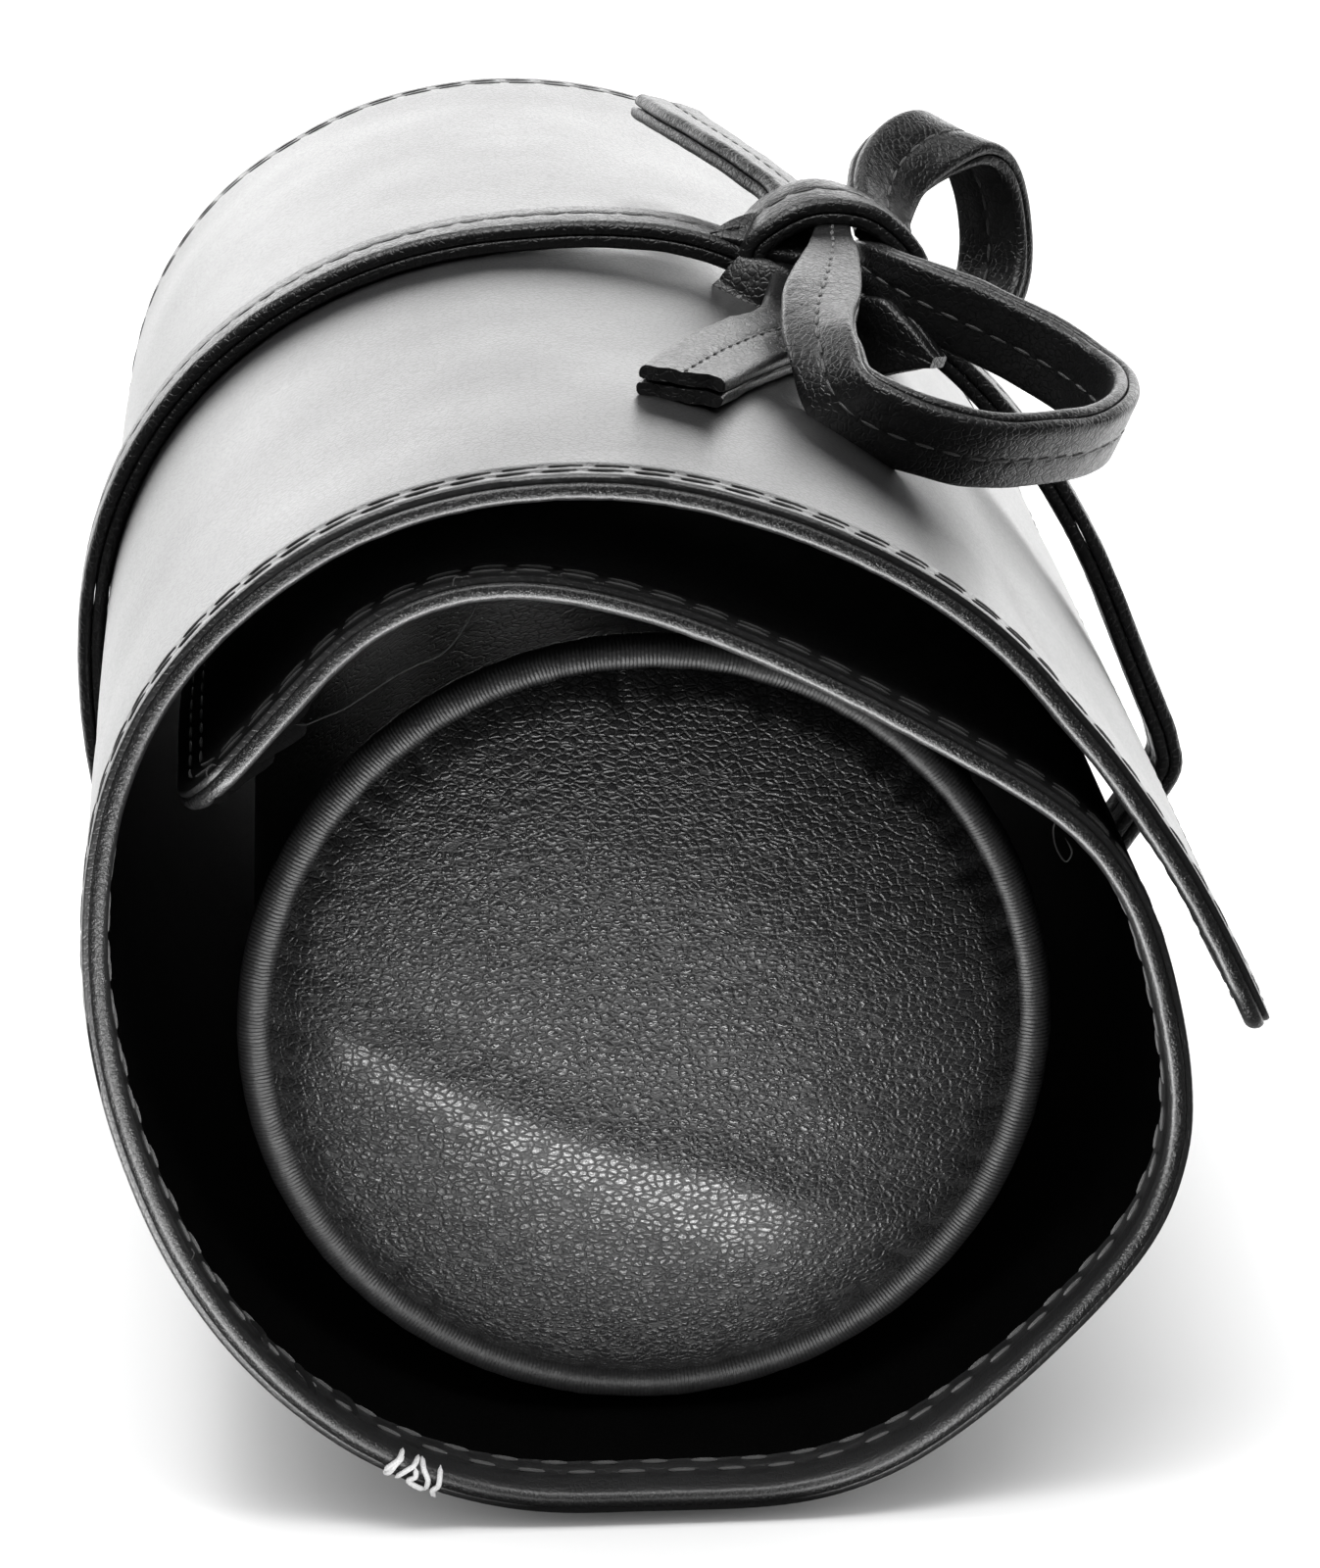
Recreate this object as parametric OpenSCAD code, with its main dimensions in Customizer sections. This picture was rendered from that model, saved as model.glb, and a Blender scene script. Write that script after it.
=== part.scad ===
// Leather jewelry roll: a lined leather sheet rolled round a piped bolster and tied with a bow.
// Millimetres. +Y runs along the roll, away from its front mouth, and +Z is up.
// The origin is the middle of the flat patch of the tie that the roll rests on.

/* [Sheet] */
// Length of the roll from rim to rim
roll_l = 148; // [110:1:180]
// Thickness of the outer leather
leather_t = 1.0; // [0.7:0.1:1.4]
// Thickness of the suede lining
lining_t = 0.8; // [0.5:0.1:1.2]
// Width of the leather turned in along each edge
hem_w = 5; // [3:0.5:8]
// Radius of the sheet's four corners
corner_r = 6; // [6:0.5:14]

/* [Bolster] */
// Diameter of the bolster over its piping
bolster_d = 63.8; // [50:0.2:80]
// Depth of each piping bead behind the rim of the roll
bolster_recess = 13; // [9:0.5:24]
// Diameter of the piping bead
piping_d = 3.0; // [2:0.1:4]
// Diameter of the cord inside the piping
piping_cord_d = 1.6; // [0.8:0.1:1.8]
// Thickness of the bolster's leather
cover_t = 0.9; // [0.6:0.1:1.4]
// Rise of each end cap from its seam to its middle
cap_crown = 5; // [3:0.5:7]

/* [Tie] */
// Width of the strap
strap_w = 7; // [5:0.5:10]
// Thickness of one of the strap's two plies
ply_t = 1.2; // [0.8:0.1:1.6]
// Width of the knot across the roll
knot_across = 17.2; // [14:0.2:22]
// Height of the knot
knot_high = 9.6; // [9:0.2:12]
// Length of the knot along the roll
knot_along = 8; // [7:0.5:12]

/* [Clearances] */
// Gap between the bolster and the lining below it
seat_gap = 0.3; // [0.2:0.05:0.6]
// Gap between the tie and the leather it lies on
tie_gap = 0.4; // [0.2:0.05:0.6]

/* [Hidden] */

black_leather = [0.10, 0.10, 0.10];
black_suede = [0.05, 0.05, 0.05];
grey_foam = [0.45, 0.45, 0.45];
white_cord = [0.85, 0.85, 0.82];

sheet_t = leather_t + max(leather_t, lining_t);
strap_t = 2 * ply_t;
bolster_r = bolster_d / 2;
// Radius at which the sheet first closes round the bolster: the unit of the coil's lengths
wrap_r = bolster_r + seat_gap + sheet_t;

// The sheet's outer face seen from the front mouth, from the loose tail over the top, down the
// left side, under the roll and on round to the inner end. Each arc is [length in wrap radii,
// degrees turned to the left], and the arc that turns nothing is the flat the roll rests on.
coil = [[0.48, 11], [0.58, 12], [0.98, 41], [0.88, 43], [0.82, 49], [0.96, 32], [1.10, 63],
        [0.40, 0], [0.44, 33], [0.54, 16], [0.52, 48], [0.36, 11], [0.44, 38], [0.88, 12],
        [0.30, 10], [0.58, 61], [0.46, -3]];
tail_heading = 109;
flat_arc = 7;
degrees_per_step = 6;

function total(list, n, i = 0) = i >= n ? 0 : list[i] + total(list, n, i + 1);
arc_l = [for (a = coil) a[0] * wrap_r];
arc_turn = [for (a = coil) a[1]];
arc_from = [for (i = [0:len(coil)]) total(arc_l, i)];
arc_heading = [for (i = [0:len(coil)]) tail_heading + total(arc_turn, i)];
sheet_l = arc_from[len(coil)];

function backwards(list) = [for (i = [len(list) - 1:-1:0]) list[i]];

// Chord of an arc of a given length that starts at a heading and turns by some degrees
function chord(length, heading, turn) =
    let (half = turn / 2)
    let (c = half == 0 ? length : length * sin(half) / (half * PI / 180))
    [c * cos(heading + half), c * sin(heading + half)];
function arc_start(i) = i == 0 ? [0, 0]
    : arc_start(i - 1) + chord(arc_l[i - 1], arc_heading[i - 1], arc_turn[i - 1]);
arc_at = [for (i = [0:len(coil)]) arc_start(i)];

// The flat's middle lies over the origin, high enough for the tie to pass below it
flat_middle = (arc_at[flat_arc] + arc_at[flat_arc + 1]) / 2;
flat_z = strap_t + tie_gap;
coil_shift = [-flat_middle[0], flat_z - flat_middle[1]];

function arc_of(s, i = 0) = i >= len(coil) - 1 || s < arc_from[i + 1] ? i : arc_of(s, i + 1);
function heading_at(s) =
    let (i = arc_of(s)) arc_heading[i] + arc_turn[i] * (s - arc_from[i]) / arc_l[i];
function point_at(s) =
    let (i = arc_of(s), d = s - arc_from[i])
    arc_at[i] + coil_shift + chord(d, arc_heading[i], arc_turn[i] * d / arc_l[i]);
// A point a given depth inside the sheet's outer face, or outside it where depth is negative
function inset_at(s, depth) =
    let (h = heading_at(s)) point_at(s) + depth * [-sin(h), cos(h)];

// Stations along the sheet: every few degrees of turn, and finer round the corners
function arc_steps(i) = max(1, ceil(abs(arc_turn[i]) / degrees_per_step));
inner_stations = [for (i = [0:len(coil) - 1]) for (k = [0:arc_steps(i) - 1])
    arc_from[i] + arc_l[i] * k / arc_steps(i)];
corner_stations = [for (a = [0:15:90]) corner_r * (1 - cos(a))];
function between(list, low, high) = [for (s = list) if (s > low + 0.4 && s < high - 0.4) s];
function stations(from, to) = concat(
    [from],
    between(corner_stations, from, min(to, corner_r)),
    corner_r > from && corner_r < to ? [corner_r] : [],
    between(inner_stations, max(from, corner_r), min(to, sheet_l - corner_r)),
    sheet_l - corner_r > from && sheet_l - corner_r < to ? [sheet_l - corner_r] : [],
    between([for (i = [len(corner_stations) - 1:-1:0]) sheet_l - corner_stations[i]],
            max(from, sheet_l - corner_r), to),
    [to]);

// Half of the sheet's width, which the rounded corners narrow near both ends
function corner_cut(d) = d >= corner_r ? 0 : corner_r - sqrt(pow(corner_r, 2) - pow(corner_r - d, 2));
function half_w(s) = roll_l / 2 - corner_cut(min(s, sheet_l - s));

// A solid through rings that all have the same number of points
// Every four-cornered face is split from its side of lower y, so that two sheets lie flush.
module rings_solid(rings) {
    n = len(rings[0]);
    last = len(rings) - 1;
    points = [for (r = rings) for (p = r) p];
    sides = [for (k = [0:last - 1]) for (j = [0:n - 1])
        let (a = k * n + j, b = k * n + (j + 1) % n)
        each points[a][1] <= points[b][1] ? [[a, b, b + n], [a, b + n, a + n]]
                                          : [[a, b, a + n], [b, b + n, a + n]]];
    ends = [[for (j = [n - 1:-1:0]) j], [for (j = [0:n - 1]) last * n + j]];
    polyhedron(points, concat(sides, ends), convexity = 10);
}

// The turned edge is round, so its section is bevelled by a share of its thickness
edge = 0.35;
// Round the flat both rims flare down to the floor, level with the outside of the tie
flare_from = roll_l / 2 - bolster_recess + piping_d;
flare_to = roll_l / 2 - edge * 2 * leather_t;
flare_reach = wrap_r;
function ease(x) = x <= 0 ? 0 : x * x * (3 - 2 * x);
function off_the_flat(s) = max(arc_from[flat_arc] - s, s - arc_from[flat_arc + 1], 0);
function flare(s, y) = flat_z * ease(1 - off_the_flat(s) / flare_reach)
    * min(1, max(0, abs(y) - flare_from) / (flare_to - flare_from));
// Where the flare begins across the sheet, kept inside the lining where the corners narrow it
function bend_y(w) = min(flare_from, w - field_from - 1);

// One section of the rolled sheet at station s, from its [y, depth] points
function section_at(s, profile) =
    [for (p = backwards(profile)) let (q = inset_at(s, p[1] - flare(s, p[0]))) [q[0], p[0], q[1]]];

function round_edge(w, t, side) = side > 0
    ? [[w - edge * t, 0], [w, edge * t], [w, t - edge * t], [w - edge * t, t]]
    : [[-w + edge * t, t], [-w, t - edge * t], [-w, edge * t], [-w + edge * t, 0]];
// The hem's inner edge slopes down to the leather over a short distance
hem_slope = 0.5;
field_from = hem_w + hem_slope;
// A section of the leather, whose field between the hems lies at a depth of floor
function leather_profile(w, floor) = concat(
    round_edge(w, 2 * leather_t, 1),
    [[w - hem_w, 2 * leather_t], [w - field_from, floor], [bend_y(w), floor],
     [-bend_y(w), floor], [-w + field_from, floor], [-w + hem_w, 2 * leather_t]],
    round_edge(w, 2 * leather_t, -1),
    [[-bend_y(w), 0], [bend_y(w), 0]]);
function lining_profile(w) =
    let (top = leather_t + lining_t, side = w - field_from)
    [[side, leather_t], [side, top], [bend_y(w), top], [-bend_y(w), top],
     [-side, top], [-side, leather_t], [-bend_y(w), leather_t], [bend_y(w), leather_t]];

module outer_leather() {
    color(black_leather)
    rings_solid(concat(
        [for (s = stations(0, hem_w)) section_at(s, leather_profile(half_w(s), 2 * leather_t))],
        [for (s = stations(field_from, sheet_l - field_from))
            section_at(s, leather_profile(half_w(s), leather_t))],
        [for (s = stations(sheet_l - hem_w, sheet_l))
            section_at(s, leather_profile(half_w(s), 2 * leather_t))]));
}

module suede_lining() {
    color(black_suede)
    rings_solid([for (s = stations(field_from, sheet_l - field_from))
        section_at(s, lining_profile(half_w(s)))]);
}

// The bolster lies on the lining over the flat, a little to the left of the rest patch
bolster_offset = -1;
bolster_at = [bolster_offset, flat_z + sheet_t + seat_gap + bolster_r];
seam_r = bolster_r - piping_d / 2;
seam_y = roll_l / 2 - bolster_recess;
cap_sphere_r = (pow(seam_r, 2) + pow(cap_crown, 2)) / (2 * cap_crown);

// Turns a profile drawn as [radius, distance towards +Y] about the bolster's axis
module turned() {
    translate([bolster_at[0], 0, bolster_at[1]])
    rotate([-90, 0, 0])
    rotate_extrude($fn = 96)
    children();
}

module at_both_seams() {
    for (y = [-seam_y, seam_y])
        translate([seam_r, y]) children();
}

module bolster_core() {
    color(grey_foam)
    turned()
    difference() {
        translate([0, -seam_y]) square([seam_r - cover_t, 2 * seam_y]);
        at_both_seams() circle(d = piping_d, $fn = 32);
    }
}

module bolster_sleeve() {
    color(black_leather)
    turned()
    difference() {
        translate([seam_r - cover_t, -seam_y]) square([cover_t, 2 * seam_y]);
        at_both_seams() circle(d = piping_d, $fn = 32);
    }
}

// The front end is the rear end mirrored
module towards(end) {
    if (end == "front") mirror([0, 1, 0]) children();
    else children();
}

module cap_region() {
    difference() {
        translate([0, seam_y]) square([seam_r, 2 * cap_crown]);
        at_both_seams() circle(d = piping_d, $fn = 32);
    }
}

module cap_disc(inset) {
    translate([0, seam_y + cap_crown - cap_sphere_r]) circle(r = cap_sphere_r - inset, $fn = 200);
}

module cap(end) {
    color(black_leather)
    towards(end) turned() intersection() {
        difference() {
            cap_disc(0);
            cap_disc(cover_t);
        }
        cap_region();
    }
}

module cap_padding(end) {
    color(grey_foam)
    towards(end) turned() intersection() {
        cap_disc(cover_t);
        cap_region();
    }
}

module piping(end) {
    color(black_leather)
    towards(end) turned() translate([seam_r, seam_y]) difference() {
        circle(d = piping_d, $fn = 32);
        circle(d = piping_cord_d, $fn = 32);
    }
}

module piping_cord(end) {
    color(white_cord)
    towards(end) turned() translate([seam_r, seam_y]) circle(d = piping_cord_d, $fn = 32);
}

// The knot sits clear of the sheet on the upper right, and the bow's strands start from it
knot_station = 1.5 * wrap_r;
knot_lift = 5.8;
knot_tilt = -20;
knot_at = inset_at(knot_station, -knot_lift);
knot_sides = 36;
knot_layers = [[-0.5, 0.9], [-0.44, 0.98], [-0.36, 1], [0.36, 1], [0.44, 0.98], [0.5, 0.9]];
function knot_outline(share) = [for (i = [0:knot_sides - 1])
    let (a = 360 * i / knot_sides,
         u = share * knot_across / 2 * cos(a), v = share * knot_high / 2 * sin(a))
    knot_at + [u * cos(knot_tilt) - v * sin(knot_tilt), u * sin(knot_tilt) + v * cos(knot_tilt)]];

module bow_knot() {
    color(black_leather)
    rings_solid([for (layer = knot_layers)
        [for (p = knot_outline(layer[1])) [p[0], layer[0] * knot_along, p[1]]]]);
}

// How far the strap's middle stands off the leather: [station in wrap radii, lift]. It lies on
// the roll from the last station of left_lift round to the one where it leaves for the tail.
lie = tie_gap + ply_t;
left_lift = [[1.55, lie + 0.6], [1.64, lie + 1.1], [1.78, lie + 1.4], [1.92, lie + 1.0],
             [2.06, lie + 0.5], [2.20, lie + 0.1], [2.34, lie]];
right_lift = [[0.00, lie + 2.0], [0.12, lie + 1.8], [0.25, lie + 1.9], [0.40, lie + 2.4],
              [0.55, lie + 3.0], [0.70, lie + 3.4], [0.85, lie + 3.7], [1.00, lie + 3.7],
              [1.12, lie + 3.6], [1.26, lie + 3.4], [1.40, lie + 3.0]];
strap_leaves = 7.22;
tail_bend = right_lift[0][1];
tail_point = point_at(0);
leave_heading = heading_at(strap_leaves * wrap_r);
strap_middle = concat(
    [for (p = left_lift) inset_at(p[0] * wrap_r, -p[1])],
    [for (s = between(inner_stations, 2.34 * wrap_r, strap_leaves * wrap_r)) inset_at(s, -lie)],
    [inset_at(strap_leaves * wrap_r, -lie)],
    [for (a = [leave_heading - 90:8:tail_heading - 94])
        tail_point + tail_bend * [cos(a), sin(a)]],
    [for (p = right_lift) inset_at(p[0] * wrap_r, -p[1])]);

function unit(v) = v / norm(v);
function bend_at(line, i) =
    unit(line[min(i + 1, len(line) - 1)] - line[max(i - 1, 0)]);
// The line moved sideways by d, to its right as it runs
function beside(line, d) = [for (i = [0:len(line) - 1])
    let (t = bend_at(line, i)) line[i] + d * [t[1], -t[0]]];

// One ply of the strap round the roll, from one side of the knot to the other
module ply(low, high) {
    color(black_leather)
    rotate([90, 0, 0])
    linear_extrude(strap_w, center = true)
    difference() {
        polygon(concat(beside(strap_middle, low), backwards(beside(strap_middle, high))));
        polygon(knot_outline(1));
    }
}

module strap_outer_ply() { ply(0, ply_t); }
module strap_inner_ply() { ply(-ply_t, 0); }

// Strands of the bow. Each row is [place relative to the knot, direction across the strap].
front_face = -knot_along / 2;
rear_face = knot_along / 2;
loop_front_route = [
    [[3.6, front_face, -0.2], [0.15, 0, 1]],
    [[4.2, front_face - 2.8, -0.5], [0.18, -0.1, 1]],
    [[7.8, -9.8, -2.1], [0.25, -0.2, 0.95]],
    [[12.4, -12, -3.8], [0.3, -0.35, 0.9]],
    [[17, -14.5, -5.8], [0.3, -0.35, 0.9]],
    [[20, -18, -7.3], [0.3, -0.35, 0.9]],
    [[21.2, -22.5, -7.9], [0.3, -0.35, 0.9]],
    [[20.2, -28.5, -7.8], [0.3, -0.4, 0.9]],
    [[17.2, -34, -7.4], [0.35, -0.45, 0.82]],
    [[12.7, -38, -6.5], [0.35, -0.45, 0.82]],
    [[7.8, -41, -5.4], [0.4, -0.45, 0.8]],
    [[2.9, -41.5, -3.7], [0.6, -0.4, 0.65]],
    [[-1.1, -37.5, -1.1], [0.85, -0.35, 0.25]],
    [[-3.2, -30, 1], [0.95, -0.2, -0.3]],
    [[-2.8, -20, 1.7], [0.97, 0, -0.3]],
    [[-1.8, -10, 1.8], [1, 0, -0.1]],
    [[-1.5, front_face - 2.5, 1.7], [1, 0, 0]],
    [[-1.5, front_face, 1.7], [1, 0, 0]]];
loop_rear_route = [
    [[5.2, rear_face, 1.4], [0.84, 0, -0.55]],
    [[5.2, rear_face + 2.5, 1.7], [0.8, -0.05, -0.57]],
    [[6.6, 11.5, 4.4], [0.74, -0.15, -0.55]],
    [[8.9, 15, 5.8], [0.75, -0.35, -0.4]],
    [[12, 17.6, 5], [0.8, -0.5, -0.2]],
    [[14.6, 19.4, 2.2], [0.78, -0.6, -0.1]],
    [[16, 20.2, -1.5], [0.76, -0.65, 0]],
    [[16.3, 19.6, -5.5], [0.74, -0.68, 0]],
    [[14.8, 17.2, -8.3], [0.72, -0.68, 0]],
    [[11.8, 14.4, -8.9], [0.78, -0.58, 0.1]],
    [[8, 11.2, -7.3], [0.86, -0.35, 0.1]],
    [[5, rear_face + 3.6, -5.2], [0.95, -0.1, 0.12]],
    [[4.4, rear_face, -4.6], [1, 0, 0.1]]];
end_short_route = [
    [[-2.4, front_face, -2.2], [0.95, 0, -0.35]],
    [[-2.7, front_face - 2.5, -2.3], [0.95, 0, -0.35]],
    [[-5.1, -14, -1.6], [0.95, -0.25, -0.4]],
    [[-8.7, -27, -0.4], [0.95, -0.25, -0.35]],
    [[-12.5, -39, 0.9], [0.95, -0.3, -0.25]],
    [[-16, -50, 2.2], [0.95, -0.3, -0.1]]];
end_long_route = [
    [[-2.2, rear_face, 3.2], [0.86, 0, -0.5]],
    [[-2.3, rear_face + 3, 3.6], [0.86, 0.05, -0.5]],
    [[-3.6, 14, 5.3], [0.85, 0.25, -0.5]],
    [[-6.5, 22, 5.8], [0.85, 0.3, -0.5]],
    [[-9.6, 31, 5.5], [0.85, 0.35, -0.45]],
    [[-13.2, 41, 4.9], [0.85, 0.35, -0.4]]];

// A smooth curve through the rows of a route
steps_per_span = 3;
function spline(a, b, c, d, t) =
    0.5 * (2 * b + (c - a) * t + (2 * a - 5 * b + 4 * c - d) * t * t
           + (3 * b - a - 3 * c + d) * t * t * t);
function row(route, i, part) = route[min(max(i, 0), len(route) - 1)][part];
function curve(route, part) = concat(
    [for (i = [0:len(route) - 2]) for (k = [0:steps_per_span - 1])
        spline(row(route, i - 1, part), row(route, i, part), row(route, i + 1, part),
               row(route, i + 2, part), k / steps_per_span)],
    [row(route, len(route) - 1, part)]);

// The strap's section: two plies with a seam between them and worn corners, [across, through]
seam = 0.25;
worn = 0.2;
half_strap = strap_w / 2;
strap_profile = [[-half_strap + worn, -ply_t], [-half_strap, -seam], [-half_strap + seam, 0],
    [-half_strap, seam], [-half_strap + worn, ply_t], [half_strap - worn, ply_t],
    [half_strap, seam], [half_strap - seam, 0], [half_strap, -seam],
    [half_strap - worn, -ply_t]];

module strand(route) {
    places = curve(route, 0);
    across = curve(route, 1);
    last = len(places) - 1;
    color(black_leather)
    translate([knot_at[0], 0, knot_at[1]])
    rings_solid([for (i = [0:last])
        let (run = places[min(i + 1, last)] - places[max(i - 1, 0)],
             t = i == 0 || i == last && abs(places[i][1]) <= rear_face ? [0, sign(run[1]), 0]
                : unit(run),
             w = unit(across[i] - (across[i] * t) * t), b = cross(t, w))
        [for (p = strap_profile) places[i] + p[0] * w + p[1] * b]]);
}

module bow_loop_front() { strand(loop_front_route); }
module bow_loop_rear() { strand(loop_rear_route); }
module tie_end_short() { strand(end_short_route); }
module tie_end_long() { strand(end_long_route); }

outer_leather();
suede_lining();
bolster_core();
bolster_sleeve();
cap("front");  // front_cap
cap("rear");  // rear_cap
cap_padding("front");  // front_cap_padding
cap_padding("rear");  // rear_cap_padding
piping("front");  // front_piping
piping("rear");  // rear_piping
piping_cord("front");  // front_piping_cord
piping_cord("rear");  // rear_piping_cord
strap_outer_ply();
strap_inner_ply();
bow_knot();
bow_loop_front();
bow_loop_rear();
tie_end_short();
tie_end_long();
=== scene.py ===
import math

import bpy
import numpy as np
from mathutils import Euler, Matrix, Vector, noise


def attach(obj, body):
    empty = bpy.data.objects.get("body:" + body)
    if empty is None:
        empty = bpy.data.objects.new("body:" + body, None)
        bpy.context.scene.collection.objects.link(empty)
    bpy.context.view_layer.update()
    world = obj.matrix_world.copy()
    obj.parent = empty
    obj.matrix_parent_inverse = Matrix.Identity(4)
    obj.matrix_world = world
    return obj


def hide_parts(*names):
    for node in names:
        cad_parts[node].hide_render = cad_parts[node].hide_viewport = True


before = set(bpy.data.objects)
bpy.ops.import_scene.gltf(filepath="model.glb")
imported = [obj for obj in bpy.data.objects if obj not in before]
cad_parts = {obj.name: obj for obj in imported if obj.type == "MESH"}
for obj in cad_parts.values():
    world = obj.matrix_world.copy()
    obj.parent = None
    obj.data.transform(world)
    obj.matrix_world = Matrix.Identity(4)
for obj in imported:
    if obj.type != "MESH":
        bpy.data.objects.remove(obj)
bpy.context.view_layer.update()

bl_info = {
    "name": "Leather Jewelry Roll",
    "version": (1, 0, 0),
    "blender": (4, 5, 0),
    "location": "3D View > Sidebar > Jewelry Roll",
    "description": "A lined leather sheet rolled round a piped bolster and tied with a strap",
    "category": "Object",
}

MM = 0.001

# The sheet's outer face seen from the front mouth, from the loose tail round to the inner end.
# Each arc is (length in wrap radii, degrees turned to the left).
COIL = (
    (0.48, 11), (0.58, 12), (0.98, 41), (0.88, 43), (0.82, 49), (0.96, 32), (1.10, 63), (0.40, 0),
    (0.44, 33), (0.54, 16), (0.52, 48), (0.36, 11), (0.44, 38), (0.88, 12), (0.30, 10),
    (0.58, 61), (0.46, -3))
TAIL_HEADING = 109
# The arc that lies flat, and how high it lies over the table, as the strap passes under it
FLAT_ARC, FLAT_Z = 7, 2.8
WRAP_R = 34.2
SHEET_L = WRAP_R * sum(length for length, _ in COIL)

# How far the strap's middle stands off the leather beside the knot: (wrap radii, millimetres)
LIE = 1.3
LEFT_LIFT = (
    (1.55, 0.6), (1.64, 1.1), (1.78, 1.4), (1.92, 1.0), (2.06, 0.5), (2.20, 0.1), (2.34, 0))
RIGHT_LIFT = (
    (0.00, 2.0), (0.12, 1.8), (0.25, 1.9), (0.40, 2.4), (0.55, 3.0), (0.70, 3.4), (0.85, 3.7),
    (1.00, 3.7), (1.12, 3.6), (1.26, 3.4), (1.40, 3.0))
STRAP_LEAVES = 7.22
KNOT_STATION = 1.5
KNOT_LIFT = 5.8

# Strands of the bow: (place from the knot's middle in millimetres, direction across the strap)
FRONT_LOOP = (
    ((3.4, -0.5, -0.2), (0.15, 0, 1)), ((3.6, -4, -0.2), (0.15, 0, 1)),
    ((4.2, -6.8, -0.5), (0.18, -0.1, 1)), ((7.8, -9.8, -2.1), (0.25, -0.2, 0.95)),
    ((12.4, -12, -3.8), (0.3, -0.35, 0.9)), ((17, -14.5, -5.8), (0.3, -0.35, 0.9)),
    ((20, -18, -7.3), (0.3, -0.35, 0.9)), ((21.5, -22.5, -8.2), (0.3, -0.35, 0.9)),
    ((20.5, -29, -8.3), (0.3, -0.4, 0.9)), ((17.2, -34.5, -8.1), (0.35, -0.45, 0.82)),
    ((12.7, -39, -7.3), (0.35, -0.45, 0.82)), ((8.2, -42, -6.5), (0.4, -0.45, 0.8)),
    ((4.4, -43, -5.2), (0.45, -0.45, 0.78)), ((0.4, -42.8, -3.9), (0.5, -0.4, 0.72)),
    ((-2.8, -41.4, -2.2), (0.62, -0.35, 0.55)), ((-3.2, -38.5, -0.4), (0.75, -0.3, 0.45)),
    ((-3.6, -34.5, 0.8), (0.85, -0.2, 0.3)), ((-3.2, -28, 1.4), (0.95, -0.1, 0)),
    ((-1.9, -20, 1.8), (0.98, 0, -0.15)), ((-0.4, -10, 1.8), (1, 0, -0.1)),
    ((-0.1, -6.5, 1.8), (1, 0, 0)), ((0.2, -4, 1.8), (1, 0, 0)), ((0.6, -0.5, 1.8), (1, 0, 0)))
REAR_LOOP = (
    ((5, 0.5, 0.9), (0.84, 0, -0.55)), ((5.2, 4, 1.4), (0.84, 0, -0.55)),
    ((5.1, 6.5, 1.8), (0.7, -0.05, -0.67)), ((6.6, 11.8, 4.0), (0.6, -0.15, -0.7)),
    ((9.6, 15.6, 5.5), (0.62, -0.35, -0.6)), ((13.0, 18.6, 5.6), (0.75, -0.5, -0.35)),
    ((15.7, 20.8, 3.3), (0.78, -0.6, -0.1)), ((17.1, 21.8, -0.8), (0.76, -0.65, 0)),
    ((17.4, 21.0, -5.6), (0.74, -0.68, 0)), ((16.0, 18.2, -9.2), (0.72, -0.68, 0)),
    ((12.6, 15.0, -9.9), (0.78, -0.58, 0.1)), ((8.3, 11.4, -8.0), (0.86, -0.35, 0.1)),
    ((5, 7.6, -5.4), (0.95, -0.1, 0.12)), ((4.4, 4, -4.4), (1, 0, 0.1)),
    ((4, 1, -2.2), (1, 0, 0.1)))
SHORT_END = (
    ((-2.2, -0.5, -1.6), (0.95, 0, -0.35)), ((-2.4, -4, -2.2), (0.95, 0, -0.35)),
    ((-2.7, -7, -2.6), (0.95, 0, -0.35)), ((-3.6, -14, -2.8), (0.95, -0.15, -0.4)),
    ((-5.2, -21, -2.3), (0.95, -0.25, -0.4)), ((-8.7, -30, -0.9), (0.95, -0.3, -0.35)),
    ((-12.5, -40.5, 0.4), (0.95, -0.3, -0.25)), ((-16, -51.5, 1.5), (0.95, -0.3, -0.1)))
LONG_END = (
    ((-2, 0.5, 2), (0.86, 0, -0.5)), ((-2.2, 4, 3.1), (0.86, 0, -0.5)),
    ((-2.8, 7, 3.2), (0.86, 0.05, -0.5)), ((-4.8, 13, 4.0), (0.85, 0.25, -0.45)),
    ((-7.6, 21, 4.7), (0.85, 0.35, -0.4)), ((-10.2, 29, 5.1), (0.85, 0.4, -0.35)),
    ((-11.4, 34, 5.2), (0.85, 0.4, -0.3)))
KNOT_WRAP = (
    ((-6.6, -0.6, 0.2), (0, 1, 0)), ((-5.0, -0.4, 2.6), (0, 1, 0.1)),
    ((-1.2, 0, 4.3), (-0.05, 1, 0.1)), ((3.2, 0.2, 3.4), (-0.1, 1, 0)),
    ((6.5, 0.2, 0.6), (-0.1, 1, 0)), ((7.4, 0.2, -2), (-0.05, 1, -0.05)),
    ((5.2, 0.1, -3.6), (0, 1, -0.05)), ((0.6, 0, -3.6), (0, 1, 0)),
    ((-4.4, -0.4, -2.4), (0, 1, 0)))
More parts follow.
